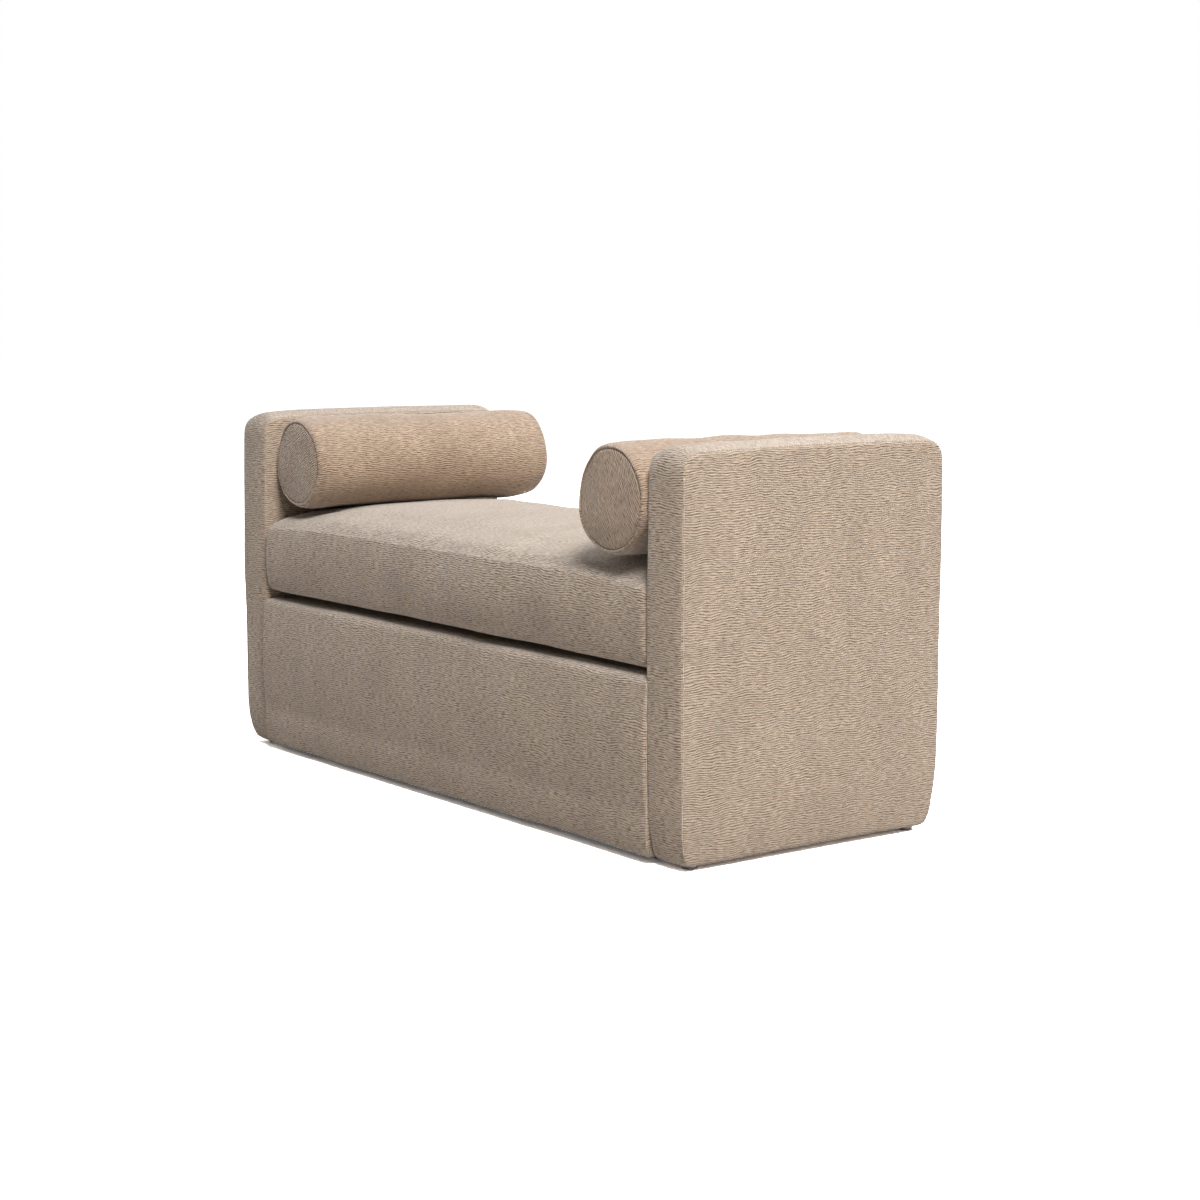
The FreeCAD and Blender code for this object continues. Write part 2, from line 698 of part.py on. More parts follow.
def glide_body():
    body = doc.addObject("PartDesign::Body", "glide")
    plane = next(item for item in body.Origin.OriginFeatures if item.Role == "XY_Plane")
    sketch = body.newObject("Sketcher::SketchObject", "glide_outline")
    sketch.AttachmentSupport = (plane, [""])
    sketch.MapMode = "FlatFace"
    sketch.addGeometry(Part.Circle(Vector(0, 0, 0), Vector(0, 0, 1), size("glide_radius")))
    sketch.addConstraint(Sketcher.Constraint("Coincident", 0, 3, -1, 1))
    index = sketch.addConstraint(Sketcher.Constraint("Radius", 0, size("glide_radius")))
    sketch.renameConstraint(index, "rim")
    sketch.setExpression("Constraints.rim", "Sizes.glide_radius")
    pad = body.newObject("PartDesign::Pad", "glide_height")
    pad.Profile = sketch
    pad.setExpression("Length", "Layout.arm_frame_bottom")
    doc.recompute()
    rims = [f"Edge{number}" for number, edge in enumerate(pad.Shape.Edges, start=1)
            if isinstance(edge.Curve, Part.Circle) and abs(edge.CenterOfMass.z) < 1e-6]
    chamfer = body.newObject("PartDesign::Chamfer", "glide_rim")
    chamfer.Base = (pad, rims)
    chamfer.setExpression("Size", "Sizes.glide_chamfer")
    doc.recompute()
    return body.Shape.copy()


glide = glide_body().cut(glide_nail(size("fastener_gap")))
formed("floor_glides", Part.makeCompound([glide.translated(spot) for spot in glide_places]))


# Zips: a flat tape set in a slot of the cover, and a slider with no pull

def zip_slider(label):
    body = doc.addObject("PartDesign::Body", label)
    plane = next(item for item in body.Origin.OriginFeatures if item.Role == "XY_Plane")
    sketch = body.newObject("Sketcher::SketchObject", f"{label}_outline")
    sketch.AttachmentSupport = (plane, [""])
    sketch.MapMode = "FlatFace"
    long = size("zip_slider_length") / 2
    wide = size("zip_slider_width") / 2
    corners = [Vector(-long, -wide, 0), Vector(long, -wide, 0), Vector(long, wide, 0),
               Vector(-long, wide, 0)]
    for number in range(4):
        sketch.addGeometry(Part.LineSegment(corners[number], corners[(number + 1) % 4]))
    for number in range(4):
        sketch.addConstraint(Sketcher.Constraint("Coincident", number, 2, (number + 1) % 4, 1))
    for line, direction in ((0, "Horizontal"), (1, "Vertical"), (2, "Horizontal"), (3, "Vertical")):
        sketch.addConstraint(Sketcher.Constraint(direction, line))
    sketch.addConstraint(Sketcher.Constraint("Symmetric", 0, 1, 1, 2, -1, 1))
    for line, name in ((0, "length"), (1, "width")):
        index = sketch.addConstraint(
            Sketcher.Constraint("Distance", line, size(f"zip_slider_{name}")))
        sketch.renameConstraint(index, name)
        sketch.setExpression(f"Constraints.{name}", f"Sizes.zip_slider_{name}")
    pad = body.newObject("PartDesign::Pad", f"{label}_height")
    pad.Profile = sketch
    pad.setExpression("Length", "Sizes.zip_slider_height")
    doc.recompute()
    upright = [f"Edge{number}" for number, edge in enumerate(pad.Shape.Edges, start=1)
               if abs(edge.Vertexes[0].Z - edge.Vertexes[-1].Z) > size("zip_slider_height") / 2]
    fillet = body.newObject("PartDesign::Fillet", f"{label}_corners")
    fillet.Base = (pad, upright)
    fillet.setExpression("Radius", "Sizes.zip_slider_radius")
    pieces.append(body)
    return body


def zip_tape(length, grow):
    """A tape along X, its outer face at z = 0, grown all round to make its slot."""
    wide = size("zip_width") / 2 + grow
    long = length / 2 + grow
    return box_between(Vector(-long, -wide, -size("cloth") - grow), Vector(long, wide, 2 * grow))


# Seat cushion: crowned top, bowed boxing, rolled lower edge and rounded ends

def cushion_section(across, inset, shrink):
    """The cushion's outline at one place along it, drawn in by inset and, near an end, by shrink."""
    half = place("cushion_depth") / 2 - inset - shrink
    bottom = place("cushion_bottom") + inset + shrink
    drop = size("cushion_end_drop") * (across / place("cushion_end")) ** 4
    top = place("cushion_bottom") + place("cushion_rise") - drop - inset - shrink
    scale = (top - bottom) / place("cushion_rise")
    lower = bottom + scale * size("cushion_bottom_roll")
    upper = lower + scale * size("cushion_boxing")
    shoulder = upper + scale * size("cushion_top_roll")
    bottom_roll = size("cushion_bottom_roll_width") * scale
    top_roll = size("cushion_top_roll_width")
    return wire(whole([
        (0, bottom),
        (half - bottom_roll, bottom),
        (half, lower, quarter(bottom_roll)),
        (half, upper, size("cushion_bulge")),
        (half - top_roll, shoulder, quarter(size("cushion_top_roll"))),
        (0, top, eased(top - shoulder)),
    ]), lambda u, v: Vector(across, u, v))


def cushion_form(inset):
    end = place("cushion_end") - inset
    radius = size("cushion_end_radius")
    rounds = [(end - radius * (1 - math.sin(turn)), radius * (1 - math.cos(turn)))
              for turn in (math.pi / 2, math.pi / 3, math.pi / 6, 0)]
    straight = [(place("bolster_across"), 0), (place("bolster_across") / 2, 0)]
    right = [*rounds, *straight]
    left = [(-across, shrink) for across, shrink in right]
    stations = [*left, (0, 0), *reversed(right)]
    sections = [cushion_section(across, inset, shrink) for across, shrink in stations]
    return Part.makeLoft(sections, True, True)


seat_zip_height = (place("cushion_bottom") + size("cushion_bottom_roll")
                   + size("cushion_boxing") / 2)
seat_zip_face = place("cushion_depth") / 2 + size("cushion_bulge")
seat_zip_frame = FreeCAD.Placement(Vector(0, seat_zip_face, seat_zip_height),
                                   FreeCAD.Rotation(Vector(1, 0, 0), -90))
core_inset = 2 * size("soft_gap") + size("cloth") + size("cushion_wrap")


def placed(shape, frame):
    moved = shape.copy()
    moved.Placement = frame.multiply(moved.Placement)
    return moved


formed("seat_cushion_core", cushion_form(core_inset))
formed("seat_cushion_wrap",
       cushion_form(place("layer")).cut(cushion_form(core_inset - size("soft_gap"))))
formed("seat_cushion_cover", cushion_form(0).cut([
    cushion_form(size("cloth")),
    placed(zip_tape(size("seat_zip_length"), size("soft_gap")), seat_zip_frame),
]))
formed("seat_cushion_zip", placed(zip_tape(size("seat_zip_length"), 0), seat_zip_frame))
slider = zip_slider("seat_cushion_zip_slider")
slider.Placement = seat_zip_frame.multiply(FreeCAD.Placement(
    Vector((size("zip_slider_length") - size("seat_zip_length")) / 2, 0, size("soft_gap")),
    FreeCAD.Rotation()))


# Bolsters: drawn in towards domed end caps, resting on the seat against the arms

def bolster_form(inset):
    """A bolster along Y, centred on the origin, drawn in by inset."""
    radius = size("bolster_radius") - inset
    cap = radius - size("bolster_draw_in")
    half = place("bolster_length") / 2 - inset
    dome = size("bolster_cap_dome")
    button = size("bolster_cap_button")
    taper = size("bolster_taper_length")
    path = [
        (0, -half - dome),
        (button, -half - dome),
        (cap, -half, eased(dome)),
        (radius, taper - half, eased(radius - cap)),
        (radius, half - taper),
        (cap, half, eased(radius - cap)),
        (button, half + dome, eased(dome)),
        (0, half + dome),
        (0, -half - dome),
    ]
    face = Part.Face(wire(path, lambda u, v: Vector(u, v, 0)))
    return face.revolve(Vector(0, 0, 0), Vector(0, 1, 0), 360)


seat_drop = size("cushion_end_drop") * (place("bolster_across") / place("cushion_end")) ** 4
bolster_height = (place("cushion_bottom") + place("cushion_rise") - seat_drop
                  + size("soft_gap") + size("bolster_radius"))
for side, sign in SIDES.items():
    middle = FreeCAD.Placement(
        Vector(sign * place("bolster_across"), size(f"bolster_{side}_shift"), bolster_height),
        FreeCAD.Rotation())
    zip_frame = FreeCAD.Placement(
        Vector(), FreeCAD.Rotation(Vector(0, 1, 0), sign * 135)).multiply(FreeCAD.Placement(
            Vector(0, 0, size("bolster_radius")), FreeCAD.Rotation(Vector(0, 0, 1), 90)))
    zip_frame = middle.multiply(zip_frame)
    formed(f"bolster_{side}_core", placed(bolster_form(place("layer")), middle))
    formed(f"bolster_{side}_cover", placed(bolster_form(0).cut(bolster_form(size("cloth"))), middle).cut(
        placed(zip_tape(size("bolster_zip_length"), size("soft_gap")), zip_frame)))
    formed(f"bolster_{side}_zip", placed(zip_tape(size("bolster_zip_length"), 0), zip_frame))
    slider = zip_slider(f"bolster_{side}_zip_slider")
    slider.Placement = zip_frame.multiply(FreeCAD.Placement(
        Vector((size("zip_slider_length") - size("bolster_zip_length")) / 2, 0, size("soft_gap")),
        FreeCAD.Rotation()))

# Every object is checked before anything is written
doc.recompute()
for item in doc.Objects:
    if "Invalid" in item.State or "Error" in item.State:
        raise RuntimeError(f"{item.Label} failed: {item.State}")
for piece in pieces:
    if piece.Shape.isNull() or not piece.Shape.isValid() or not piece.Shape.Solids:
        raise RuntimeError(f"{piece.Label} has no valid solid")

os.makedirs("parts", exist_ok=True)
for piece in pieces:
    piece.Shape.exportStep(f"parts/{piece.Label}.step")
print(len(pieces), "pieces,", sum(len(piece.Shape.Solids) for piece in pieces), "solids")
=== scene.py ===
# %% [markdown]
# A backless divan: a long bench between two slab arms, covered all over in a beige crinkle chenille,
# with one loose seat cushion and two loose bolsters. The frame of rails, boards, springs and bolts
# comes packed and fixed. This lesson sews the covers round it, stuffs the loose cushions, and sets
# the whole under soft studio light. Everything is in metres, with +Z up and the front towards -Y.

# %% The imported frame
import json
import math

import bpy
import numpy as np
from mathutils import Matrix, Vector, noise
from mathutils.bvhtree import BVHTree


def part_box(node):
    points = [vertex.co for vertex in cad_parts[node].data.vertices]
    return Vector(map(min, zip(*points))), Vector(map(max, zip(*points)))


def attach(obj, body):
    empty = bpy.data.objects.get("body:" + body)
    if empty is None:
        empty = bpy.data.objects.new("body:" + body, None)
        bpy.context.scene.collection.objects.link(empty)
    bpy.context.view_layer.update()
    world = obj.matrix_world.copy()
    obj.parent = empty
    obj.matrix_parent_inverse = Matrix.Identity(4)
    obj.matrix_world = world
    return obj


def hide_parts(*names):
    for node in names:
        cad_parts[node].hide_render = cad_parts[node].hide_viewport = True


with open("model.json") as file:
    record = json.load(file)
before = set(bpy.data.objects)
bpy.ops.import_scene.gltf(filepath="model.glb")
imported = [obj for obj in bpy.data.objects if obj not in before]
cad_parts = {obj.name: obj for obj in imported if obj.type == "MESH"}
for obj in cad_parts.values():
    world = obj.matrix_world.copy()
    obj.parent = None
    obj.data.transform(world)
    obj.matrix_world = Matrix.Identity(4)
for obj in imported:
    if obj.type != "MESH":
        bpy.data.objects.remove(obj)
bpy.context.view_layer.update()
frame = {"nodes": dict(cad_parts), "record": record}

# %% [markdown]
# The photograph was taken from a little above the arms, about 50 degrees round towards the right
# arm, with a longish lens. The camera comes first, so that every later step can be judged through
# it. Its place and tilt were found from the object's own edges.

# %% Camera
scene = bpy.context.scene
scene.view_settings.view_transform = "Standard"
IMAGE_SIDE = 1200
FOCAL_PIXELS = 2378.06
CAMERA_PLACE = (3.81548, -2.74423, 0.96998)
CAMERA_AZIMUTH = math.radians(53.35)
CAMERA_PITCH = math.radians(7.3)
camera = bpy.data.objects.new("camera", bpy.data.cameras.new("camera"))
scene.collection.objects.link(camera)
scene.camera = camera
camera.data.sensor_width = 36
camera.data.lens = FOCAL_PIXELS * camera.data.sensor_width / IMAGE_SIDE
camera.location = CAMERA_PLACE
camera.rotation_euler = (math.pi / 2 - CAMERA_PITCH, 0, CAMERA_AZIMUTH)
print("lens", round(camera.data.lens, 2), "mm")

# %% [markdown]
# A finish is a tree of nodes. Colours are written the way a dyer's card or a screen shows them, as
# sRGB hex values, and one function turns them into the linear light that the shader works in.

# %% Colour and node helpers
def linear(colour):
    """A hex colour such as C0AC99 as linear red, green, blue and alpha."""
    channels = [int(colour[start:start + 2], 16) / 255 for start in (0, 2, 4)]
    return [c / 12.92 if c <= 0.04045 else ((c + 0.055) / 1.055) ** 2.4 for c in channels] + [1]


def add(material, kind, inputs, **settings):
    """A node with its own settings; inputs are sockets' values, or the sockets that feed them."""
    made = material.node_tree.nodes.new(kind)
    for name, value in settings.items():
        setattr(made, name, value)
    for name, value in inputs.items():
        if isinstance(value, bpy.types.NodeSocket):
            material.node_tree.links.new(value, made.inputs[name])
        else:
            made.inputs[name].default_value = value
    return made


def stretched_noise(material, place, cells, detail):
    """A noise with its own number of cells per metre along each direction of place."""
    place = add(material, "ShaderNodeVectorMath", {0: place, 1: cells}, operation="MULTIPLY")
    return add(material, "ShaderNodeTexNoise", {"Vector": place.outputs[0], "Scale": 1,
                                                "Detail": detail}).outputs[0]


def finish(name, **inputs):
    """A new material and its shader; inputs are the shader's plain values, such as Roughness."""
    material = bpy.data.materials.new(name)
    material.use_nodes = True
    shader = material.node_tree.nodes["Principled BSDF"]
    for socket, value in inputs.items():
        shader.inputs[socket.replace("_", " ")].default_value = value
    return material, shader


# %% [markdown]
# The cover is taken for crinkle chenille: a soft cut-pile yarn woven so that it draws up into small
# wavy ribs. Here they lie about 4 mm apart, are shaded as if a millimetre or two high, and wander,
# fork and fade. The hollows are darker, and a sheen stands for the light that pile scatters at
# grazing angles. The pattern lies on the "weave" map that each cover carries, in metres of cloth,
# with the ribs along its first direction. All tones were matched to the photograph by mean colour,
# under this scene's lamps.
# Darker hollows are painted shade, and the paler ribs of faces that look up painted light.

# %% Chenille
RIB_PITCH = 0.0041
RIB_HEIGHT = 0.0019
DRIFTS = ((14, 0.018), (45, 0.0055), (160, 0.0012))  # cells per metre, and reach in metres
FLECK_CELLS = (78, 1.95 / RIB_PITCH, 1)
FLECK_SHARE = 0.51
YARN_CELLS = (950, 420, 1)
YARN_HEIGHT = 0.45
STREAK_CELLS = (13, 3, 1)


def chenille(name, pile, crown, hollow_shade, pit_shade):
    """A ribbed cloth: pile and crown colour its ribs, painted shade the hollows between them."""
    material, shader = finish(
        name, Roughness=0.95, Specular_IOR_Level=0.15, Sheen_Weight=0.45, Sheen_Roughness=0.35,
        Sheen_Tint=linear("FFFFFF"))
    weave = add(material, "ShaderNodeUVMap", {}, uv_map="weave").outputs[0]
    # The ribs wander across their run, from slowly and far to quickly and little
    place = weave
    for cells, reach in DRIFTS:
        drift = add(material, "ShaderNodeTexNoise", {"Vector": weave, "Scale": cells, "Detail": 1})
        drift = add(material, "ShaderNodeVectorMath",
                    {0: drift.outputs["Color"], 1: (0.5, 0.5, 0.5)}, operation="SUBTRACT")
        drift = add(material, "ShaderNodeVectorMath", {0: drift.outputs[0], 1: (0, reach, 0)},
                    operation="MULTIPLY")
        place = add(material, "ShaderNodeVectorMath", {0: place, 1: drift.outputs[0]},
                    operation="ADD").outputs[0]
    # Ribs with round backs and narrow hollows: a sine without its sign
    across = add(material, "ShaderNodeSeparateXYZ", {0: place}).outputs["Y"]
    turn = add(material, "ShaderNodeMath", {0: across, 1: math.pi / RIB_PITCH},
               operation="MULTIPLY")
    wave = add(material, "ShaderNodeMath", {0: turn.outputs[0]}, operation="SINE")
    wave = add(material, "ShaderNodeMath", {0: wave.outputs[0]}, operation="ABSOLUTE")
    # A second, broken set of short ribs makes the first one fork and fade
    fleck = stretched_noise(material, place, FLECK_CELLS, 1)
    fleck = add(material, "ShaderNodeMapRange", {"Value": fleck, 1: 0.3, 2: 0.7})
    mixed = add(material, "ShaderNodeMix", {0: FLECK_SHARE, 2: wave.outputs[0],
                                            3: fleck.outputs[0]})
    yarn = stretched_noise(material, weave, YARN_CELLS, 0)
    height = add(material, "ShaderNodeMath", {0: yarn, 1: YARN_HEIGHT, 2: mixed.outputs[0]},
                 operation="MULTIPLY_ADD")
    bump = add(material, "ShaderNodeBump", {"Strength": 1, "Distance": RIB_HEIGHT,
                                            "Height": height.outputs[0]})
    # The tone varies slowly, in streaks across the ribs
    streak = stretched_noise(material, weave, STREAK_CELLS, 3)
    shade = add(material, "ShaderNodeMapRange", {"Value": streak, 1: 0.3, 2: 0.7,
                                                 3: 0.93, 4: 1.05})
    # Painted shade: the hollows between the ribs get darker tones than the ribs' backs
    depth = add(material, "ShaderNodeMapRange", {"Value": height.outputs[0], 1: 0.38, 2: 1.02})
    # Faces that look up get paler ribs, painted light, and those that look ahead or back get
    # darker hollows, painted shade, as in the photograph. Whether the pile's nap or the studio's
    # light does this there isn't known.
    face_normal = add(material, "ShaderNodeTexCoord", {}).outputs["Normal"]
    face_normal = add(material, "ShaderNodeSeparateXYZ", {0: face_normal})
    ahead = add(material, "ShaderNodeMath", {0: face_normal.outputs["Y"]}, operation="ABSOLUTE")
    upward = add(material, "ShaderNodeMapRange", {"Value": face_normal.outputs["Z"]})
    ribs_with_painted_light = add(material, "ShaderNodeMix", {0: upward.outputs[0], 6: linear(pile),
                                           7: linear(crown)}, data_type="RGBA")
    hollows_with_painted_shade = add(material, "ShaderNodeMix", {0: ahead.outputs[0], 6: linear(hollow_shade),
                                             7: linear(pit_shade)}, data_type="RGBA")
    tone = add(material, "ShaderNodeMix", {0: depth.outputs[0], 6: hollows_with_painted_shade.outputs[2],
                                           7: ribs_with_painted_light.outputs[2]}, data_type="RGBA")
    tone = add(material, "ShaderNodeVectorMath", {0: tone.outputs[2], 1: shade.outputs[0]},
               operation="MULTIPLY")
    material.node_tree.links.new(tone.outputs[0], shader.inputs["Base Color"])
    material.node_tree.links.new(bump.outputs[0], shader.inputs["Normal"])
    return material


# The crown tone is painted light on faces that look up; the hollow and pit tones are painted shade.
cover_cloth = chenille("crinkle_chenille", pile="C2AF9C", crown="C8BBAD", hollow_shade="836C57",
                       pit_shade="583D26")
# The bolsters look slightly darker and warmer in the photograph, so they get tones of their own:
# painted shade and painted warm bounced light on a copy of the cover's cloth.
bolster_shaded_cloth = chenille("bolster_chenille_shaded", pile="BAA28C", crown="BDA793", hollow_shade="735D49",
                      pit_shade="4E3A2A")
# The seam cloth is the cover's chenille drawn paler: a painted highlight on the raised seams.
seam_highlight_cloth = chenille("seam_chenille_highlight", pile="CFC0AF", crown="D6C9BC", hollow_shade="B09C88",
                      pit_shade="98826D")

# %% [markdown]
# The arms, the cushion, the bolsters and the deck pad are built like drums: two panels and a band
# sewn between them. The helpers take the outline of the panel, the rings that run round it from one
# panel's rim over the band to the other's, and fill each panel with a patch. Seams are rings too, so
# they stay exact.

# %% Outlines
def new_piece(name, points, faces, material, smooth=True):
    """A mesh of points and faces in one material, as an object in the scene."""
    mesh = bpy.data.meshes.new(name)
    mesh.from_pydata(points, [], faces)
    mesh.polygons.foreach_set("use_smooth", [smooth] * len(faces))
    mesh.materials.append(material)
    piece = bpy.data.objects.new(name, mesh)
    scene.collection.objects.link(piece)
    return piece


def trace(path, step=0.002):
    """Points along (u, v) corners, or (u, v, bulge) where the way there bows out."""
    points = [np.array(path[0][:2], float)]
    for (u0, v0, *_), (u1, v1, *bulge) in zip(path, path[1:]):
        a, b = np.array((u0, v0)), np.array((u1, v1))
        span = np.linalg.norm(b - a)
        share = np.linspace(0, 1, max(2, int(span / step)))[1:, None]
        bow = bulge[0] if bulge else 0
        out = np.array((v1 - v0, u0 - u1)) / span
        if abs(bow) > 1e-6:
            radius = (span ** 2 / 4 + bow ** 2) / (2 * bow)
            half = math.asin(min(1, span / 2 / abs(radius)))
            turn = (2 * share - 1) * half
            rise = abs(radius) * (np.cos(turn) - math.cos(half)) * math.copysign(1, bow)
            along = 0.5 + np.sin(turn) / (2 * math.sin(half))
            points.extend(a + (b - a) * along + out * rise)
        else:
            points.extend(a + (b - a) * share)
    return np.array(points)


BOW = 1 - math.sqrt(0.5)  # how far a quarter circle of radius 1 bows from its chord


def rounded(half_x, half_y, radius):
    """A rectangle with quarter-round corners, from the bottom's middle anticlockwise."""
    r, bow = radius, radius * BOW
    return trace([(0, -half_y), (half_x - r, -half_y), (half_x, r - half_y, bow),
                  (half_x, half_y - r), (half_x - r, half_y, bow), (r - half_x, half_y),
                  (-half_x, half_y - r, bow), (-half_x, r - half_y), (r - half_x, -half_y, bow),
                  (0, -half_y)])


def four_corners(x, y):
    """The corners of a rectangle, anticlockwise from its lower left."""
    return [(a * x, b * y) for a, b in ((-1, -1), (1, -1), (1, 1), (-1, 1))]


def nodes_round(outline, corners, counts):
    """Nodes on a closed outline, spaced evenly from corner to corner; the outline's normals there;
    and the length run so far, which grows all the way round."""
    steps = np.linalg.norm(np.diff(outline, axis=0), axis=1)
    length = np.concatenate([[0], np.cumsum(steps)])
    total = length[-1]
    marks = [length[np.argmin(np.linalg.norm(outline - np.array(c), axis=1))] for c in corners]
    places = []
    start = marks[0]
    for number, count in enumerate(counts):
        end = marks[(number + 1) % 4]
        while end <= start:
            end += total
        places.extend(start + (end - start) * np.arange(count) / count)
        start = end
    places = np.array(places)

    def at(run):
        return np.stack([np.interp(run % total, length, outline[:, k]) for k in (0, 1)], axis=1)

    nearby = 0.003
    way = at(places + nearby) - at(places - nearby)
    way /= np.linalg.norm(way, axis=1)[:, None]
    return at(places), np.stack([way[:, 1], -way[:, 0]], axis=1), places


# %% [markdown]
# The drum itself comes next. Its cloth is mapped about as it would be cut: the panels lie flat, and
# the band is measured round the outline one way and over its own width the other.

# %% A drum of two panels and a band
def patch(ring, counts, flip):
    """Fills a closed ring with a grid: positions of the inner points and the grid's faces."""
    across, up = counts
    index = np.zeros((across + 1, up + 1), int)
    total = 2 * (across + up)
    for i in range(across + 1):
        index[i, 0] = i
        index[i, up] = across + up + (across - i)
    for j in range(up + 1):
        index[across, j] = across + j
        index[0, j] = (2 * across + up + (up - j)) % total
    bottom, top = ring[index[:, 0]], ring[index[:, up]]
    left, right = ring[index[0, :]], ring[index[across, :]]
    s = (np.arange(across + 1) / across)[:, None, None]
    t = (np.arange(up + 1) / up)[None, :, None]
    grid = ((1 - t) * bottom[:, None] + t * top[:, None] + (1 - s) * left[None] + s * right[None]
            - (1 - s) * (1 - t) * ring[index[0, 0]] - s * (1 - t) * ring[index[across, 0]]
            - (1 - s) * t * ring[index[0, up]] - s * t * ring[index[across, up]])
    inner = grid[1:across, 1:up].reshape(-1, 3)
    index[1:across, 1:up] = total + np.arange(len(inner)).reshape(across - 1, up - 1)
    a, b, c, d = index[:-1, :-1], index[1:, :-1], index[1:, 1:], index[:-1, 1:]
    quads = np.stack([a, b, c, d] if not flip else [a, d, c, b], axis=-1).reshape(-1, 4)
    return inner, quads


def drum(name, material, axes, rings, arcs, seams, counts, panel_cloth, band_cloth, dome,
         plateau=2):
    """A closed cover. rings[level, node] are (p, q, w) points from the low panel to the high one;
    seams are the two levels where band and panels meet; arcs are lengths round the outline;
    panel_cloth and band_cloth give places on the cloth; dome is each panel's swelling."""
    levels, count = rings.shape[:2]
    low_in, low_quads = patch(rings[0], counts, True)
    high_in, high_quads = patch(rings[-1], counts, False)
    across, up = counts
    s = np.linspace(-1, 1, across + 1)[1:-1, None]
    t = np.linspace(-1, 1, up + 1)[None, 1:-1]
    swell = ((1 - np.abs(s) ** plateau) * (1 - t ** 2)).reshape(-1)
    low_in[:, 2] -= dome[0] * swell
    high_in[:, 2] += dome[1] * swell
    points = np.concatenate([rings.reshape(-1, 3), low_in, high_in])
    first_low = levels * count
    low_map = np.concatenate([np.arange(count), first_low + np.arange(len(low_in))])
    high_map = np.concatenate([(levels - 1) * count + np.arange(count),
                               first_low + len(low_in) + np.arange(len(high_in))])
    run = np.linalg.norm(np.diff(rings, axis=0), axis=2)
    climb = np.concatenate([np.zeros((1, count)), np.cumsum(run, axis=0)])
    normals = rings[seams[0], :, :2] - rings[0, :, :2]
    normals /= np.maximum(np.linalg.norm(normals, axis=1), 1e-9)[:, None]
    total = 2 * arcs[-1] - arcs[-2]
    faces, cloth = [], []
    for level in range(levels - 1):
        for node in range(count):
            after = (node + 1) % count
            corners = ((level, node), (level, after), (level + 1, after), (level + 1, node))
            faces.append(tuple(at_level * count + at_node for at_level, at_node in corners))
            for at_level, at_node in corners:
                if seams[0] <= level < seams[1]:
                    arc = total if at_node == 0 and node else arcs[at_node]
                    cloth.append(band_cloth(arc, climb[at_level, at_node]
                                            - climb[seams[0], at_node]))
                else:
                    rim = 0 if level < seams[0] else levels - 1
                    away = abs(climb[at_level, at_node] - climb[rim, at_node])
                    cloth.append(panel_cloth(*(rings[rim, at_node, :2]
                                               + normals[at_node] * away)))
    for quads, mapping in ((low_quads, low_map), (high_quads, high_map)):
        for quad in mapping[quads]:
            faces.append(tuple(quad))
            cloth.extend(panel_cloth(*points[corner, :2]) for corner in quad)
    piece = new_piece(name, [axes(*point) for point in points], faces, material)
    weave = piece.data.uv_layers.new(name="weave")
    weave.data.foreach_set("uv", np.array(cloth, np.float32).ravel())
    return piece


# %% [markdown]
# A cover is then worked on: its seams are kept sharp, stuffing presses it out, it is subdivided once
# and made slightly uneven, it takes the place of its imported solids, and thin seam lines are laid on.

# %% Working on a cover
LAST_FRAME = 20


def spots(mesh):
    """The mesh's points as rows of x, y and z."""
    flat = np.zeros(len(mesh.vertices) * 3)
    mesh.vertices.foreach_get("co", flat)
    return flat.reshape(-1, 3)


def put_back(mesh, points):
    """Gives the mesh's points new places, in the order that spots lists them."""
    mesh.vertices.foreach_set("co", points.ravel())
    mesh.update()


def crease(piece, count, levels, sharp=1.0):
    """Keeps the seam rings sharp when the cover is subdivided."""
    mesh = piece.data
    marks = mesh.attributes.new("crease_edge", "FLOAT", "EDGE")
    for edge in mesh.edges:
        a, b = (vertex // count for vertex in edge.vertices)
        if a == b and a in levels:
            marks.data[edge.index].value = sharp


def stuff(piece, sewn, reach, pressure=4.0):
    """Lets pressure swell a cover while the points in sewn stay put. Each point keeps the direction
    that it moves in, but its distance is eased to less than reach."""
    before = spots(piece.data)
    group = piece.vertex_groups.new(name="sewn")
    group.add([int(point) for point in sewn], 1.0, "REPLACE")
    cloth = piece.modifiers.new("stuffing", "CLOTH")
    cloth.settings.vertex_group_mass = "sewn"
    cloth.settings.use_pressure = True
    cloth.settings.uniform_pressure_force = pressure
    cloth.settings.effector_weights.gravity = 0
    cloth.point_cache.frame_start = 1
    cloth.point_cache.frame_end = LAST_FRAME
    for moment in range(1, LAST_FRAME + 1):
        scene.frame_set(moment)
    view = bpy.context.evaluated_depsgraph_get()
    shift = spots(piece.evaluated_get(view).data) - before
    piece.modifiers.remove(cloth)
    piece.vertex_groups.remove(group)
    scene.frame_set(1)
    size = np.linalg.norm(shift, axis=1)[:, None]
    print(piece.name, "swelled by up to", round(float(size.max()) * 1000, 1),
          "mm before it was eased to less than", reach * 1000, "mm")
    put_back(piece.data, before + shift * reach * np.tanh(size / reach) / np.maximum(size, 1e-9))


def refine(piece):
    """Subdivides a cover once and keeps the result."""
    piece.modifiers.new("subdivision", "SUBSURF").levels = 1
    view = bpy.context.evaluated_depsgraph_get()
    mesh = bpy.data.meshes.new_from_object(piece.evaluated_get(view), depsgraph=view)
    piece.modifiers.clear()
    piece.data = mesh
    print(piece.name, len(mesh.vertices), "points", len(mesh.polygons), "faces")


def ruffle(piece, amount, grain, seed, where=lambda points: 1.0):
    """Moves a cover's points along their normals by a slow, fixed unevenness."""
    mesh = piece.data
    points = spots(mesh)
    offset = Vector((seed * 7.31, seed * 3.17, seed * 5.71))
    wave = np.array([noise.noise(Vector(point) / grain + offset) for point in points])
    normals = np.array([vertex.normal[:] for vertex in mesh.vertices])
    put_back(mesh, points + normals * (amount * wave * where(points))[:, None])


def dress(piece, body, fill, *nodes):
    """Puts a cover in place of CAD nodes, riding on the body that they belong to."""
    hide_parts(*nodes)
    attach(piece, body)


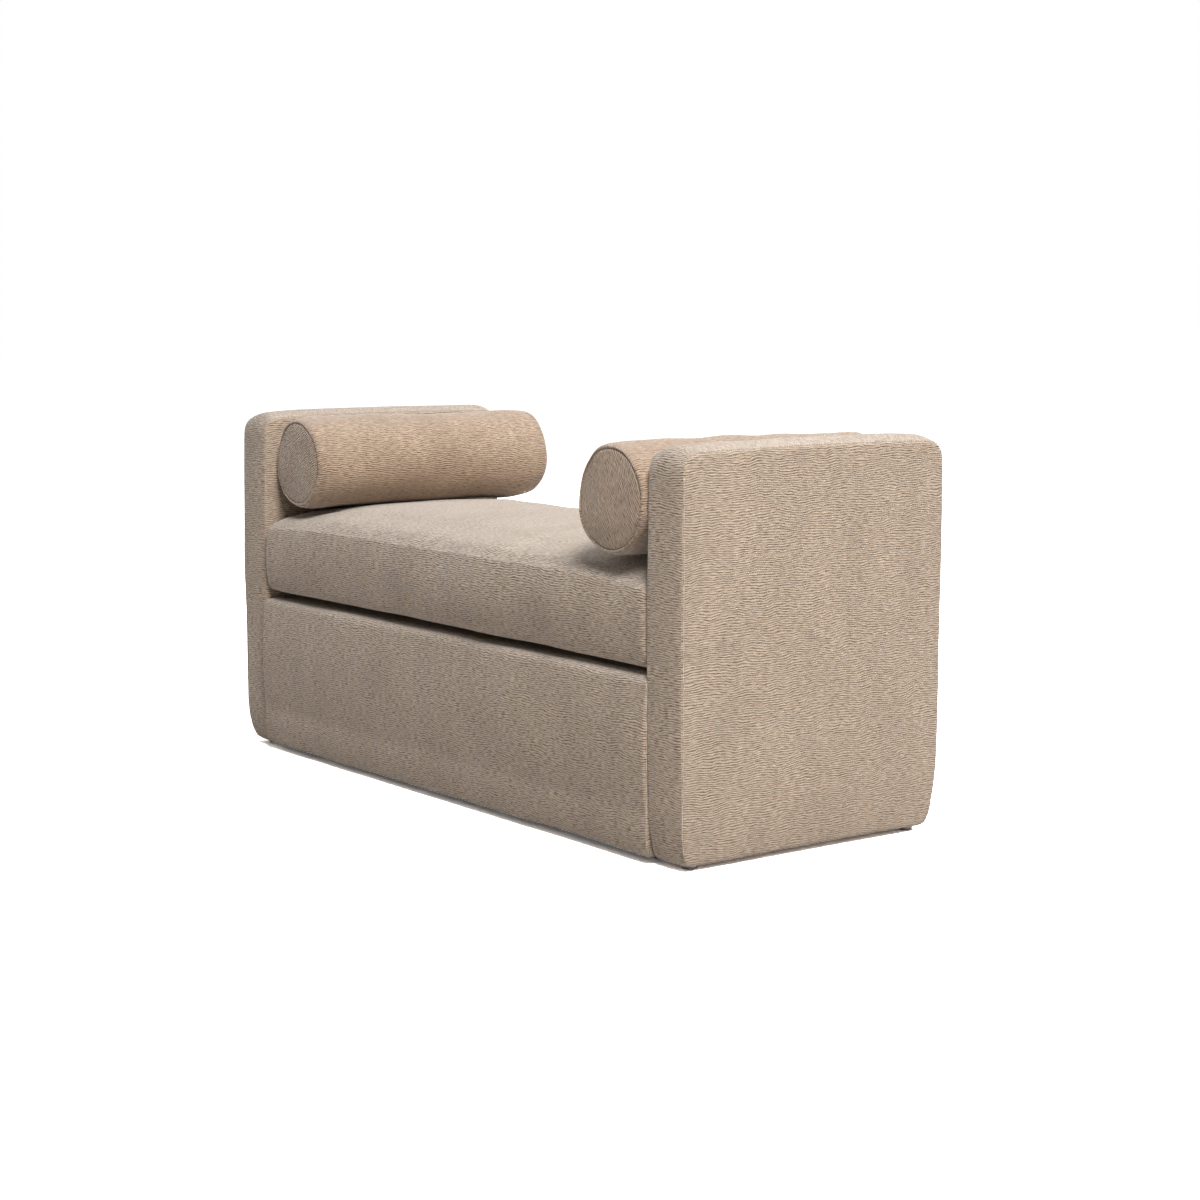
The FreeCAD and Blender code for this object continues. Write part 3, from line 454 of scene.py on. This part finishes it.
def cord_along(name, path, radius, body, material, sides=6):
    """A thin round seam line through the given points."""
    path = np.array(path)
    way = np.gradient(path, axis=0)
    way /= np.linalg.norm(way, axis=1)[:, None]
    askew = (0.3, 0.5, 0.81)
    aside = np.cross(way, askew)
    aside /= np.linalg.norm(aside, axis=1)[:, None]
    lift = np.cross(way, aside)
    turns = np.arange(sides) * 2 * math.pi / sides
    rim = [path + radius * (math.cos(a) * aside + math.sin(a) * lift) for a in turns]
    points = np.stack(rim, axis=1).reshape(-1, 3)
    faces = [(i * sides + j, i * sides + (j + 1) % sides, (i + 1) * sides + (j + 1) % sides,
              (i + 1) * sides + j) for i in range(len(path) - 1) for j in range(sides)]
    faces += [tuple(range(sides))[::-1], tuple(range(len(points) - sides, len(points)))]
    piece = new_piece(name, points.tolist(), faces, material)
    weave = piece.data.uv_layers.new(name="weave")
    runs = np.concatenate([[0], np.cumsum(np.linalg.norm(np.diff(path, axis=0), axis=1))])
    for loop in piece.data.loops:
        ring, side = divmod(loop.vertex_index, sides)
        weave.data[loop.index].uv = (runs[ring], side * radius)
    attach(piece, body)


# %% [markdown]
# An arm is a frame of timber under foam. Its cover is one strip sewn between an outer and an inner
# panel, up the front, over the top, down the back and under the foot. The foam crowns the top, the
# sides swell by a few millimetres, and near the floor the cloth is drawn in at the front, the back
# and the outer side. The seam stands up as a thin pale ridge down the front and the back, and sinks
# in along the top.

# %% Arms
SIDES = (("left", -1), ("right", 1))
SEAM_TURN = 45
ARM_TURN = (0, 22, 38, SEAM_TURN, 52, 68, 90)  # degrees round the arm's edge


def arm_outline(front, back, bottom, top):
    """The strip's path round the arm as (y, z), its corners, and how high it is drawn in."""
    corner, foot, tuck, back_tuck, tuck_top = 0.030, 0.014, 0.013, 0.020, 0.110
    outline = trace([
        (0, bottom),
        (back - back_tuck - foot, bottom),
        (back - back_tuck, bottom + foot, foot * BOW),
        (back - 0.007, tuck_top + 0.05, (back_tuck - 0.007) / 4),
        (back - 0.003, top - corner, 0.001),
        (back - 0.003 - corner, top, corner * BOW),
        (0.1, top + 0.003, 0.001),
        (-0.15, top + 0.002, 0.001),
        (corner + 0.002 - front, top - 0.001, 0.001),
        (0.003 - front, top - corner - 0.002, corner * BOW),
        (0.002 - front, tuck_top, 0.003),
        (tuck + 0.001 - front, bottom + foot, tuck / 4),
        (tuck + 0.001 + foot - front, bottom, foot * BOW),
        (0, bottom),
    ])
    corners = [(foot * BOW + tuck - front, bottom + foot * BOW),
               (back - back_tuck - foot * BOW, bottom + foot * BOW),
               (back - 0.003 - corner * BOW, top - corner * BOW),
               (corner * BOW - front, top - corner * BOW)]
    return outline, corners, tuck_top


def arm_cover(side, sign):
    low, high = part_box(f"arm_{side}_cover")
    inner, outer = (low.x, high.x) if sign > 0 else (high.x, low.x)
    middle = (inner + outer) / 2
    half = abs(outer - inner) / 2
    crown, bulge, edge = 0.009, 0.003, 0.008
    outline, corners, tuck_top = arm_outline(-low.y, high.y, low.z, high.z - crown)
    counts = (44, 52)
    nodes, normals, arcs = nodes_round(outline, corners, (counts[0], counts[1]) * 2)
    upward = np.clip(normals[:, 1], 0, 1) ** 2
    swell = 0.002 + (crown - 0.002) * upward
    seam_depth = 0.0020 * upward - 0.0007 * (1 - upward)
    flat = half - edge
    rings = []
    for sense in (-1, 1):
        half_rings = []
        for angle in ARM_TURN:
            turn = math.radians(angle)
            radius = edge - seam_depth * (angle == SEAM_TURN)
            half_rings.append((radius * math.sin(turn) - edge,
                               sense * (flat + radius * math.cos(turn))))
        half_rings += [(swell * (1 - share ** 2), sense * flat * share)
                       for share in (0.85, 0.6, 0.3)]
        rings += half_rings[::-1] if sense > 0 else half_rings + [(swell, 0)]
    stack = np.array([np.column_stack([nodes + normals * (out * np.ones(len(nodes)))[:, None],
                                       across * np.ones(len(nodes))]) for out, across in rings])
    # The outer side draws in towards the floor
    draw = np.clip(1 - (stack[:, :, 1] - low.z) / (tuck_top - low.z), 0, 1) ** 2
    stack[:, :, 2] -= 0.009 * draw * np.clip(stack[:, :, 2] / half, 0, 1)
    seams = (ARM_TURN.index(SEAM_TURN), len(stack) - 1 - ARM_TURN.index(SEAM_TURN))
    piece = drum(f"arm_{side}_skin", cover_cloth, lambda p, q, w: (middle + sign * w, p, q), stack,
                 arcs, seams, counts, lambda p, q: (p, q), lambda arc, climb: (climb, arc),
                 dome=(0.001, bulge))
    if sign < 0:
        piece.data.flip_normals()
    crease(piece, len(nodes), seams)
    refine(piece)
    ruffle(piece, 0.0022, 0.16, 1 + sign)
    dress(piece, "frame", 0.9, f"arm_{side}_cover", f"arm_{side}_padding")
    # The sewn ridge down the front and the back edges, painted paler as a highlight
    seam_x = middle + sign * (half - edge * BOW)
    seam_y, seam_top = 0.297, 0.672
    for end, facing in (("front", -1), ("back", 1)):
        path = [(seam_x, facing * seam_y, z) for z in np.linspace(low.z + 0.016, seam_top, 90)]
        cord_along(f"arm_{side}_{end}_seam", lay_on(piece, path), 0.0008, "frame", seam_highlight_cloth)


def surface(mesh):
    """The mesh as a tree, for its nearest place to a point or where a ray meets it."""
    return BVHTree.FromPolygons([v.co for v in mesh.vertices], [p.vertices for p in mesh.polygons])


def lay_on(piece, path, lift=0.0002):
    """The points of a cover nearest to a path, lifted a little off it."""
    tree = surface(piece.data)
    laid = []
    for point in path:
        place, normal, *_ = tree.find_nearest(Vector(point))
        laid.append(place + normal * lift)
    return laid


for side, sign in SIDES:
    arm_cover(side, sign)

# %% [markdown]
# The base is upholstered between the arms, front and back alike: foam over a board, and a cover
# tacked under the frame at the bottom and under the cushion at the top. Its ends roll in against
# the arms' rounded edges, where only a shallow valley and a thin sewn line show.

# %% Base panels
def base_cover(end, along):
    low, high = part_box(f"base_{end}_cover")
    face = max(abs(low.y), abs(high.y))
    hem = min(abs(low.y), abs(high.y))
    bulge, foot, shoulder, roll, overlap = 0.007, 0.014, 0.016, 0.0055, 0.0055
    flat = face - bulge
    section = trace([
        (hem, low.z),
        (flat - foot - 0.004, low.z),
        (flat - 0.004, low.z + foot, foot * BOW),
        (flat, 0.09, 0.002),
        (flat, high.z - shoulder, bulge - 0.001),
        (flat - shoulder, high.z, shoulder * BOW),
        (hem, high.z),
    ])
    length = np.concatenate([[0], np.cumsum(np.linalg.norm(np.diff(section, axis=0), axis=1))])
    arcs = np.linspace(0, length[-1], 56)
    points = np.stack([np.interp(arcs, length, section[:, k]) for k in (0, 1)], axis=1)
    way = np.gradient(points, axis=0)
    way /= np.linalg.norm(way, axis=1)[:, None]
    normals = np.stack([way[:, 1], -way[:, 0]], axis=1)
    reach = high.x + overlap
    ends = np.array([0, 0.0008, 0.002, 0.0038, 0.007, 0.013, 0.022])
    x = np.concatenate([-reach + ends, np.linspace(0.036 - reach, reach - 0.036, 112),
                        (reach - ends)[::-1]])
    gap = np.clip(reach - np.abs(x), 0, roll)
    sink = roll - np.sqrt(roll ** 2 - (roll - gap) ** 2)
    x = np.concatenate([x[:1], x, x[-1:]])
    sink = np.concatenate([[0.016], sink, [0.016]])
    grid = []
    for across, inward in zip(x, sink):
        for (out, up), (n_out, n_up) in zip(points, normals):
            depth = out - n_out * inward
            # Behind the arm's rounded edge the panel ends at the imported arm's inner face; the arm's
            # cover swells over that face, so the two overlap there by up to about 2 mm
            share = 1 - (1 - np.clip((depth - 0.294) / 0.008, 0, 1)) * overlap / reach
            grid.append((across * share, along * depth, up - n_up * min(inward, roll)))
    rows, columns = len(x), len(arcs)
    faces = [(i * columns + j, (i + 1) * columns + j, (i + 1) * columns + (j + 1) % columns,
              i * columns + (j + 1) % columns) for i in range(rows - 1) for j in range(columns)]
    faces += [tuple(range(columns)), tuple(range(rows * columns - 1, (rows - 1) * columns - 1, -1))]
    if along > 0:
        faces = [face[::-1] for face in faces]
    piece = new_piece(f"base_{end}_skin", grid, faces, cover_cloth)
    weave = piece.data.uv_layers.new(name="weave")
    for loop in piece.data.loops:
        row, column = divmod(loop.vertex_index, columns)
        weave.data[loop.index].uv = (x[row], arcs[column])
    refine(piece)
    ruffle(piece, 0.003, 0.14, 5 + along,
           lambda spot: np.clip((0.66 - np.abs(spot[:, 0])) / 0.03, 0.1, 1))
    dress(piece, "frame", 0.9, f"base_{end}_cover", f"base_{end}_padding")
    # A thin sewn line at each end, painted paler as a highlight on the seam
    for side, sign in SIDES:
        path = [(sign * (reach - 0.0012), along * (flat - 0.002), z)
                for z in np.linspace(low.z + 0.012, high.z - 0.012, 60)]
        cord_along(f"base_{end}_{side}_seam", lay_on(piece, path), 0.0007, "frame", seam_highlight_cloth)


for end, along in (("front", -1), ("back", 1)):
    base_cover(end, along)

# %% [markdown]
# The seat cushion is a foam block in a fibre wrap. Its cover has a top panel that rolls over the
# edge to a seam, a boxing strip that bows out, and a lower panel that rolls under. The panels are
# drawn up to their seams first, which gives the cushion its form. Then pressure swells the cloth by
# less than 4 mm more, except at the seams and where it lies on the deck or against the arms.

# %% Seat cushion
def seat_cushion():
    low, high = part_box("seat_cushion_cover")
    half_x = high.x + 0.0003
    half_y = high.y - 0.006
    radius = 0.006
    outline = rounded(half_x, half_y, radius)
    corners = four_corners(half_x - radius * BOW, half_y - radius * BOW)
    counts = (110, 50)
    nodes, normals, arcs = nodes_round(outline, corners, (counts[0], counts[1]) * 2)
    profile = [
        (-0.095, 0.0005), (-0.078, 0.003), (-0.060, 0.009), (-0.045, 0.0145), (-0.030, 0.0165),
        (-0.018, 0.017), (-0.010, 0.019), (-0.005, 0.0225), (-0.0015, 0.028),
        (0.0, 0.0315), (-0.0004, 0.0335), (0.001, 0.0360),
        (0.004, 0.050), (0.0055, 0.068), (0.006, 0.088), (0.006, 0.105), (0.005, 0.124),
        (0.0035, 0.142), (0.0015, 0.1575), (-0.0004, 0.160), (-0.001, 0.1625),
        (-0.006, 0.170), (-0.015, 0.178), (-0.027, 0.184), (-0.040, 0.1885), (-0.055, 0.1915),
        (-0.066, 0.193),
    ]
    seams = (9, 19)
    rise = profile[-1][1]
    end_round = 0.022
    stack = []
    for level, (out, up) in enumerate(profile):
        # Each ring is the outline drawn in, less at the ends than at the front and the back
        end_out = min(out, 0) * (0.35 if level < seams[0] else 0.6)
        spot = nodes * ((half_x + end_out) / half_x, (half_y + out) / half_y)
        gap = np.clip(half_x - np.abs(spot[:, 0]), 0, end_round)
        high_up = max(0, up / rise - 0.55) / 0.45
        drop = 0.014 * (up / rise) * (np.abs(spot[:, 0]) / half_x) ** 5
        drop += high_up * (end_round - np.sqrt(end_round ** 2 - (end_round - gap) ** 2)) * 0.8
        # The lower edge sits lower towards the right, as in the photograph
        drop += 0.005 * np.clip(spot[:, 0] / half_x, 0, 1) * np.interp(
            up, (0.005, 0.015, 0.035, 0.080), (0, 1, 1, 0))
        stack.append(np.column_stack([spot, low.z + up - drop]))
    stack = np.array(stack)
    piece = drum("seat_cushion_skin", cover_cloth, lambda p, q, w: (p, q, w), stack, arcs, seams,
                 counts, lambda p, q: (p, q), lambda arc, climb: (arc, climb), dome=(0, 0.012),
                 plateau=8)
    crease(piece, len(nodes), seams, 0.7)
    count = len(nodes)
    points = spots(piece.data)
    held = np.abs(points[:, 0]) > half_x - 0.004
    held |= points[:, 2] < low.z + 0.012
    for seam in seams:
        held[seam * count:(seam + 1) * count] = True
    stuff(piece, np.flatnonzero(held), reach=0.004, pressure=0.8)
    refine(piece)
    ruffle(piece, 0.0055, 0.15, 11,
           lambda spot: np.clip((half_x - np.abs(spot[:, 0])) / 0.04, 0, 1)
           * np.clip((spot[:, 2] - low.z) / 0.05, 0.15, 1))
    # The zip lies in a shallow channel along the back
    zip_low, zip_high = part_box("seat_cushion_zip")
    spot = spots(piece.data)
    away = np.maximum(np.abs(spot[:, 2] - (zip_low.z + zip_high.z) / 2) - 0.011,
                      np.abs(spot[:, 0]) - zip_high.x - 0.004)
    ceiling = zip_low.y - 0.0004 + np.maximum(away, 0) * 0.35
    spot[:, 1] = np.minimum(spot[:, 1], ceiling)
    put_back(piece.data, spot)
    dress(piece, "seat_cushion", 0.75, "seat_cushion_cover", "seat_cushion_wrap",
          "seat_cushion_core")
    return piece


cushion = seat_cushion()

# %% [markdown]
# Each bolster is a tube of cloth stuffed with fibre and closed with two round caps. The tube's edge
# rolls over before it meets the cap, so the seam lies in a fold with a lighter lip outside it. The
# bolster settles on the crowned seat and leans on the arm, and is flat only there.

# %% Bolsters
def bolster(side, sign, fuller, longer, settle, sag, tilt):
    low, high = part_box(f"bolster_{side}_cover")
    centre = (low + high) / 2
    radius = (high.z - low.z) / 2 + fuller
    half = (high.y - low.y) / 2 - 0.005
    turns = np.linspace(0, 2 * math.pi, 721)
    outline = np.stack([radius * np.sin(turns), -radius * np.cos(turns)], axis=1)
    diagonal = radius * math.sqrt(0.5)
    corners = four_corners(diagonal, diagonal)
    counts = (16, 16)
    nodes, normals, arcs = nodes_round(outline, corners, counts * 2)
    edge = [(-0.024, 0.0006), (-0.0145, 0.0), (-0.0115, 0.0006), (-0.0100, 0.0042),
            (-0.0088, 0.0006), (-0.0060, 0.0), (-0.0030, 0.0030), (-0.0012, 0.010),
            (0.0, 0.024), (0.001, 0.045)]
    profile = [(out, run - half) for out, run in edge]
    profile += [(0.001, run - half) for run in np.linspace(0.060, half, 22)]
    whole = profile + [(out, -along) for out, along in profile[-2::-1]]
    seams = (3, len(whole) - 4)
    stack = np.array([np.column_stack([nodes + normals * out, along * np.ones(len(nodes))])
                      for out, along in whole])

    def cap_cloth(p, q):
        turn = math.radians(tilt)
        return (p * math.cos(turn) + q * math.sin(turn), q * math.cos(turn) - p * math.sin(turn))

    piece = drum(f"bolster_{side}_skin", bolster_shaded_cloth,
                 lambda p, q, w: (centre.x + p, centre.y + w + longer * max(0, w / half),
                                  centre.z + q - settle - sag * (w / half) ** 2),
                 stack, arcs, seams, counts, cap_cloth, lambda arc, climb: (climb, arc),
                 dome=(0.004, 0.004))
    piece.data.flip_normals()
    crease(piece, len(nodes), seams)
    count = len(nodes)
    sewn = [level * count + node for seam in seams for level in (seam - 1, seam, seam + 1)
            for node in range(count)]
    stuff(piece, sewn, reach=0.003)
    refine(piece)
    ruffle(piece, 0.0050, 0.085, 21 + sign)
    spot = spots(piece.data)
    # Flat against the arm
    wall = abs(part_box(f"arm_{side}_cover")[0 if sign > 0 else 1].x) - 0.0022
    spot[:, 0] = sign * np.minimum(sign * spot[:, 0], wall)
    # The zip's shallow channel, low down on the arm's side
    aslant = (sign * (spot[:, 0] - centre.x) - (spot[:, 2] - centre.z)) * math.sqrt(0.5)
    beside = (sign * (spot[:, 0] - centre.x) + (spot[:, 2] - centre.z)) * math.sqrt(0.5)
    zip_low, zip_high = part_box(f"bolster_{side}_zip")
    away = np.maximum(np.abs(beside) - 0.011,
                      np.abs(spot[:, 1] - centre.y) - (zip_high.y - zip_low.y) / 2 - 0.004)
    ceiling = (high.z - low.z) / 2 - 0.0018 + np.maximum(away, 0) * 0.35
    push = np.where(aslant > 0, np.maximum(aslant - ceiling, 0), 0) * math.sqrt(0.5)
    spot[:, 0] -= sign * push
    spot[:, 2] += push
    # Flat on the seat
    seat = surface(cushion.data)
    clearance = 0.0004
    lifted = 0
    for number in np.flatnonzero(spot[:, 2] < centre.z):
        ground = seat.ray_cast(Vector((*spot[number, :2], centre.z)), Vector((0, 0, -1)))[0]
        if ground and spot[number, 2] < ground.z + clearance:
            spot[number, 2] = ground.z + clearance
            lifted += 1
    print(piece.name, "rests on the seat with", lifted, "points")
    put_back(piece.data, spot)
    dress(piece, f"bolster_{side}", 0.85, f"bolster_{side}_cover", f"bolster_{side}_core")


bolster("left", -1, fuller=-0.001, longer=0.008, settle=0.002, sag=0.002, tilt=28)
bolster("right", 1, fuller=0.002, longer=0, settle=0, sag=0, tilt=-62)

# %% [markdown]
# Between the springs and the cushion lie three flat layers: a stretched decking cloth, a thin foam
# pad and a smooth deck cover that the cushion slides on. Under the base a black dust cover is
# stretched from rail to rail. The cloths are thin sheets, pulled tight, that sag a little between
# the springs; they are cut to the size of the deck, so flat and fitted sizes are nearly the same.

# %% Deck and dust cloths
def stretched(name, node, material, sag):
    """A tight cloth in the place of a flat CAD node, dipping a little between the springs."""
    low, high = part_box(node)
    level = (low.z + high.z) / 2
    x = np.linspace(low.x, high.x, 141)
    y = np.linspace(low.y, high.y, 61)
    dip = sag * np.outer(np.sin(math.pi * (x - low.x) / (high.x - low.x)) ** 0.5,
                         np.sin(math.pi * (y - low.y) / (high.y - low.y)))
    dip *= 0.8 + 0.2 * np.cos(2 * math.pi * x / 0.115)[:, None]
    grid = [(a, b, level - dip[i, j]) for i, a in enumerate(x) for j, b in enumerate(y)]
    rows = len(y)
    faces = [(i * rows + j, (i + 1) * rows + j, (i + 1) * rows + j + 1, i * rows + j + 1)
             for i in range(len(x) - 1) for j in range(rows - 1)]
    piece = new_piece(name, grid, faces, material)
    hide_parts(node)
    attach(piece, "frame")
    return piece, (high.x - low.x, high.y - low.y)


def textured(name, light, dark, stretch, relief, **inputs):
    """A finish whose tone and relief follow one stretched noise; stretch is in cells per metre."""
    material, shader = finish(name, **inputs)
    place = add(material, "ShaderNodeTexCoord", {}).outputs["Object"]
    grain = stretched_noise(material, place, stretch, 3)
    share = add(material, "ShaderNodeMapRange", {"Value": grain, 1: 0.3, 2: 0.7})
    tone = add(material, "ShaderNodeMix", {0: share.outputs[0], 6: linear(dark),
                                           7: linear(light)}, data_type="RGBA")
    bump = add(material, "ShaderNodeBump", {"Strength": 1, "Distance": relief, "Height": grain})
    material.node_tree.links.new(tone.outputs[2], shader.inputs["Base Color"])
    material.node_tree.links.new(bump.outputs[0], shader.inputs["Normal"])
    return material


# Decking is a plain cotton-polyester cloth; its threads are drawn coarser than the real 0.4 mm
decking = textured("decking_cloth", "BDB09E", "A39480", (900, 900, 900), 0.0002, Roughness=0.9,
                   Specular_IOR_Level=0.2)
# Dust cover: black spun-bonded polypropylene, with a faint blotchy bond
dusting = textured("spunbond_black", "1E1E1E", "121212", (500, 500, 500), 0.0001, Roughness=0.8,
                   Specular_IOR_Level=0.25)
# Upholstery foam, cream coloured, with open cells
foam = textured("cream_foam", "E9DFC2", "D8CBA8", (700, 700, 700), 0.0003, Roughness=0.95,
                Specular_IOR_Level=0.1)

deck_top, deck_flat = stretched("deck_sheet", "deck_cover", decking, 0.0006)
deck_low, _ = stretched("spring_sheet", "deck_cloth", decking, 0.0006)
dust, dust_flat = stretched("dust_sheet", "dust_cover", dusting, 0.0014)
print("deck cloth", [round(v, 4) for v in deck_flat], "dust cover", [round(v, 4) for v in dust_flat])


def deck_pad():
    """The pad: a flat foam sheet with softly rounded edges."""
    low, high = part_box("deck_pad")
    half = (high.z - low.z) / 2 - 0.0008
    middle = (low.z + high.z) / 2
    outline = rounded(high.x - 0.001, high.y - 0.001, 0.012)
    corners = four_corners(high.x - 0.004, high.y - 0.004)
    counts = (60, 24)
    nodes, normals, arcs = nodes_round(outline, corners, counts * 2)
    turns = np.radians(np.linspace(-90, 90, 9))
    stack = np.array([np.column_stack([nodes + normals * (half * (math.cos(turn) - 1)),
                                       half * math.sin(turn) * np.ones(len(nodes))])
                      for turn in turns])
    piece = drum("deck_pad_foam", foam, lambda p, q, w: (p, q, middle + w), stack, arcs, (2, 6),
                 counts, lambda p, q: (p, q), lambda arc, climb: (arc, climb),
                 dome=(0.0002, 0.0002))
    ruffle(piece, 0.0006, 0.09, 31)
    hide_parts("deck_pad")
    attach(piece, "frame")


deck_pad()

# %% [markdown]
# The zips are nylon coil zips in a beige tape: one along the back of the cushion and one low down
# behind each bolster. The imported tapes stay, and a low row of coil turns is laid on each. The turns
# are drawn 2.4 mm apart, about twice as coarse as real ones. Each slider gets its pull.

# %% Zips
tape = textured("zip_tape_beige", "BEAD99", "A6947F", (1200, 300, 1200), 0.0002, Roughness=0.85,
                Specular_IOR_Level=0.2)
coil = textured("zip_coil_nylon", "CDBFAE", "BCAD9A", (800, 800, 800), 0.0001, Roughness=0.45)
plated = textured("zip_plated_zinc", "9A9287", "857D72", (600, 600, 600), 0.00005, Metallic=1.0,
                  Roughness=0.32)


def bars(name, places, along, across, out, sizes, material, body):
    """Small rounded bars at the given places, all turned alike, as one mesh."""
    along, across, out = (np.array(v, float) for v in (along, across, out))
    a, b, c = (size / 2 for size in sizes)
    cut = min(sizes) * 0.3
    ring = [(-1, -1), (1, -1), (1, 1), (-1, 1)]
    shape = ([(u * (a - cut), v * (b - cut), -c) for u, v in ring]
             + [(u * a, v * b, w * (c - cut)) for w in (-1, 1) for u, v in ring]
             + [(u * (a - cut), v * (b - cut), c) for u, v in ring])
    shape = np.array([u * along + v * across + w * out for u, v, w in shape])
    cell = [(3, 2, 1, 0), (12, 13, 14, 15)]
    cell += [(4 * k + i, 4 * k + (i + 1) % 4, 4 * k + 4 + (i + 1) % 4, 4 * k + 4 + i)
             for k in range(3) for i in range(4)]
    if np.dot(np.cross(along, across), out) < 0:
        cell = [face[::-1] for face in cell]
    points = np.concatenate([shape + place for place in places])
    faces = [tuple(16 * number + corner for corner in face)
             for number in range(len(places)) for face in cell]
    piece = new_piece(name, points.tolist(), faces, material, smooth=False)
    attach(piece, body)


def zip_coil(node, body, slider_body, out, along, hanging):
    """Coil turns on a zip's tape and the pull on its slider; out points away from the tape."""
    low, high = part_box(node)
    out, along = np.array(out, float), np.array(along, float)
    across = np.cross(out, along)
    centre = (np.array(low) + np.array(high)) / 2
    face = centre + out * 0.00075
    length = float(np.dot(np.array(high) - np.array(low), along))
    runs = np.arange(0.004 - length / 2, length / 2 - 0.004, 0.0024)
    turns = [face + along * run + across * (0.0006 if number % 2 else -0.0006) + out * 0.00010
             for number, run in enumerate(runs)]
    bars(f"{node}_coil", turns, along, across, out, (0.0013, 0.0040, 0.00030), coil, body)
    low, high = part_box(f"{node}_slider")
    slider = (np.array(low) + np.array(high)) / 2
    if hanging:
        place, way = slider + out * 0.0019 - np.array((0, 0, 0.010)), np.array((0, 0, 1.0))
        bars(f"{node}_pull", [place], way, along, out, (0.022, 0.005, 0.0011), plated,
             slider_body)
    else:
        place = slider + out * 0.0019 + along * 0.007
        bars(f"{node}_pull", [place], along, across, out, (0.018, 0.004, 0.0011), plated,
             slider_body)


zip_coil("seat_cushion_zip", "seat_cushion", "seat_zip_slider", (0, 1, 0), (1, 0, 0), True)
SLANT = math.sqrt(0.5)
for side, sign in SIDES:
    zip_coil(f"bolster_{side}_zip", f"bolster_{side}", f"{side}_zip_slider",
             (sign * SLANT, 0, -SLANT), (0, 1, 0), False)

# %% [markdown]
# Inside, the frame is planed pine with birch plywood at the arms and brown hardboard under the
# panels' foam. Pine shows long soft grain, so its noise is stretched along each stick. The springs
# are bare oil-tempered wire, the screws, bolts and washers bright zinc, and the glides black
# moulded plastic. Wood and plastic keep the usual index of refraction of about 1.5.

# %% The frame's finishes
LONG, WIDE = 4, 60  # cells per metre along and across the grain
AXES = {"x": (LONG, WIDE, WIDE), "y": (WIDE, LONG, WIDE), "z": (WIDE, WIDE, LONG)}
pine = {axis: textured(f"pine_along_{axis}", "E0C396", "C59A62", stretch, 0.0003, Roughness=0.62)
        for axis, stretch in AXES.items()}
inside = {
    "plywood": textured("birch_plywood", "DFC59D", "C9A87A", (660, 14, 8), 0.0002, Roughness=0.55),
    "hardboard": textured("brown_hardboard", "80583A", "68452B", (240, 240, 240), 0.0001,
                          Roughness=0.5),
    "spring_steel": textured("spring_wire", "77736D", "5C5853", (300, 300, 300), 0.00005,
                             Metallic=1.0, Roughness=0.4),
    "zinc_steel": textured("bright_zinc", "C3C5C7", "ABADAF", (350, 350, 350), 0.00005,
                           Metallic=1.0, Roughness=0.28),
    "glide_plastic": textured("black_plastic", "1B1B1B", "131313", (900, 900, 900), 0.00008,
                              Roughness=0.5),
    "zip_tape": tape,
    "zip_metal": plated,
    "chenille": cover_cloth,
    "deck_fabric": decking,
    "dust_fabric": dusting,
    "foam": foam,
    "fibre": foam,
}


def grain(node):
    """The direction of the grain of a pine piece, from what it is."""
    if any(word in node for word in ("post", "upright", "block")):
        return "z"
    if node.startswith("arm") or "cross" in node:
        return "y"
    return "x"


slots = {entry["node"]: entry["material_slot"] for entry in frame["record"]["subparts"]}
for node, piece in frame["nodes"].items():
    material = pine[grain(node)] if slots[node] == "frame_wood" else inside[slots[node]]
    piece.data.materials.clear()
    piece.data.materials.append(material)
print("finished", len(slots), "packed nodes in", len(set(slots.values())), "materials")

# %% [markdown]
# The studio: a big soft lamp high on the right and a little in front lights the seat and the right
# side, and leaves the front in half shade. A second one behind brightens the tops from the back, and
# the world fills in from all round. World and floor show white to the camera, but the world lights
# the divan at a quarter of that, and the floor reflects 45 percent. How bright the floor is for the
# camera lets only the dark core of the shadow under the divan show.

# %% Light and ground
def area(name, place, target, size, power):
    lamp = bpy.data.lights.new(name, "AREA")
    lamp.shape = "RECTANGLE"
    lamp.size, lamp.size_y = size
    lamp.energy = power
    holder = bpy.data.objects.new(name, lamp)
    scene.collection.objects.link(holder)
    holder.location = place
    way = Vector(target) - Vector(place)
    holder.rotation_euler = way.to_track_quat("-Z", "Y").to_euler()


def by_view(material, seen, unseen):
    """One value for what the camera sees directly or in a mirror, another for the light it sends."""
    path = add(material, "ShaderNodeLightPath", {})
    direct = add(material, "ShaderNodeMath", {0: path.outputs["Is Camera Ray"],
                                              1: path.outputs["Is Glossy Ray"]}, operation="MAXIMUM")
    direct = add(material, "ShaderNodeMath", {0: direct.outputs[0],
                                              1: path.outputs["Is Transmission Ray"]},
                 operation="MAXIMUM")
    return add(material, "ShaderNodeMapRange", {"Value": direct.outputs[0], 3: unseen, 4: seen})


area("key_lamp", (3.95, -1.45, 5.75), (0.1, 0, 0.4), (2.6, 2.6), 640)
area("back_lamp", (-0.3, 3.6, 2.9), (0, 0, 0.5), (2.6, 1.4), 150)

world = bpy.data.worlds.new("studio")
scene.world = world
world.use_nodes = True
background = world.node_tree.nodes["Background"]
level = by_view(world, seen=1.0, unseen=0.25)
world.node_tree.links.new(level.outputs[0], background.inputs["Strength"])
background.inputs["Color"].default_value = (1, 1, 1, 1)

paper = bpy.data.materials.new("studio_paper")
paper.use_nodes = True
paper.node_tree.nodes.clear()
shown = by_view(paper, seen=4.4, unseen=0.45)
matte = add(paper, "ShaderNodeBsdfDiffuse", {"Color": shown.outputs[0]})
add(paper, "ShaderNodeOutputMaterial", {"Surface": matte.outputs[0]})

FLOOR_REACH = 30
floor_corners = [(x, y, 0) for x, y in four_corners(FLOOR_REACH, FLOOR_REACH)]
floor = new_piece("floor", floor_corners, [(0, 1, 2, 3)], paper, smooth=False)
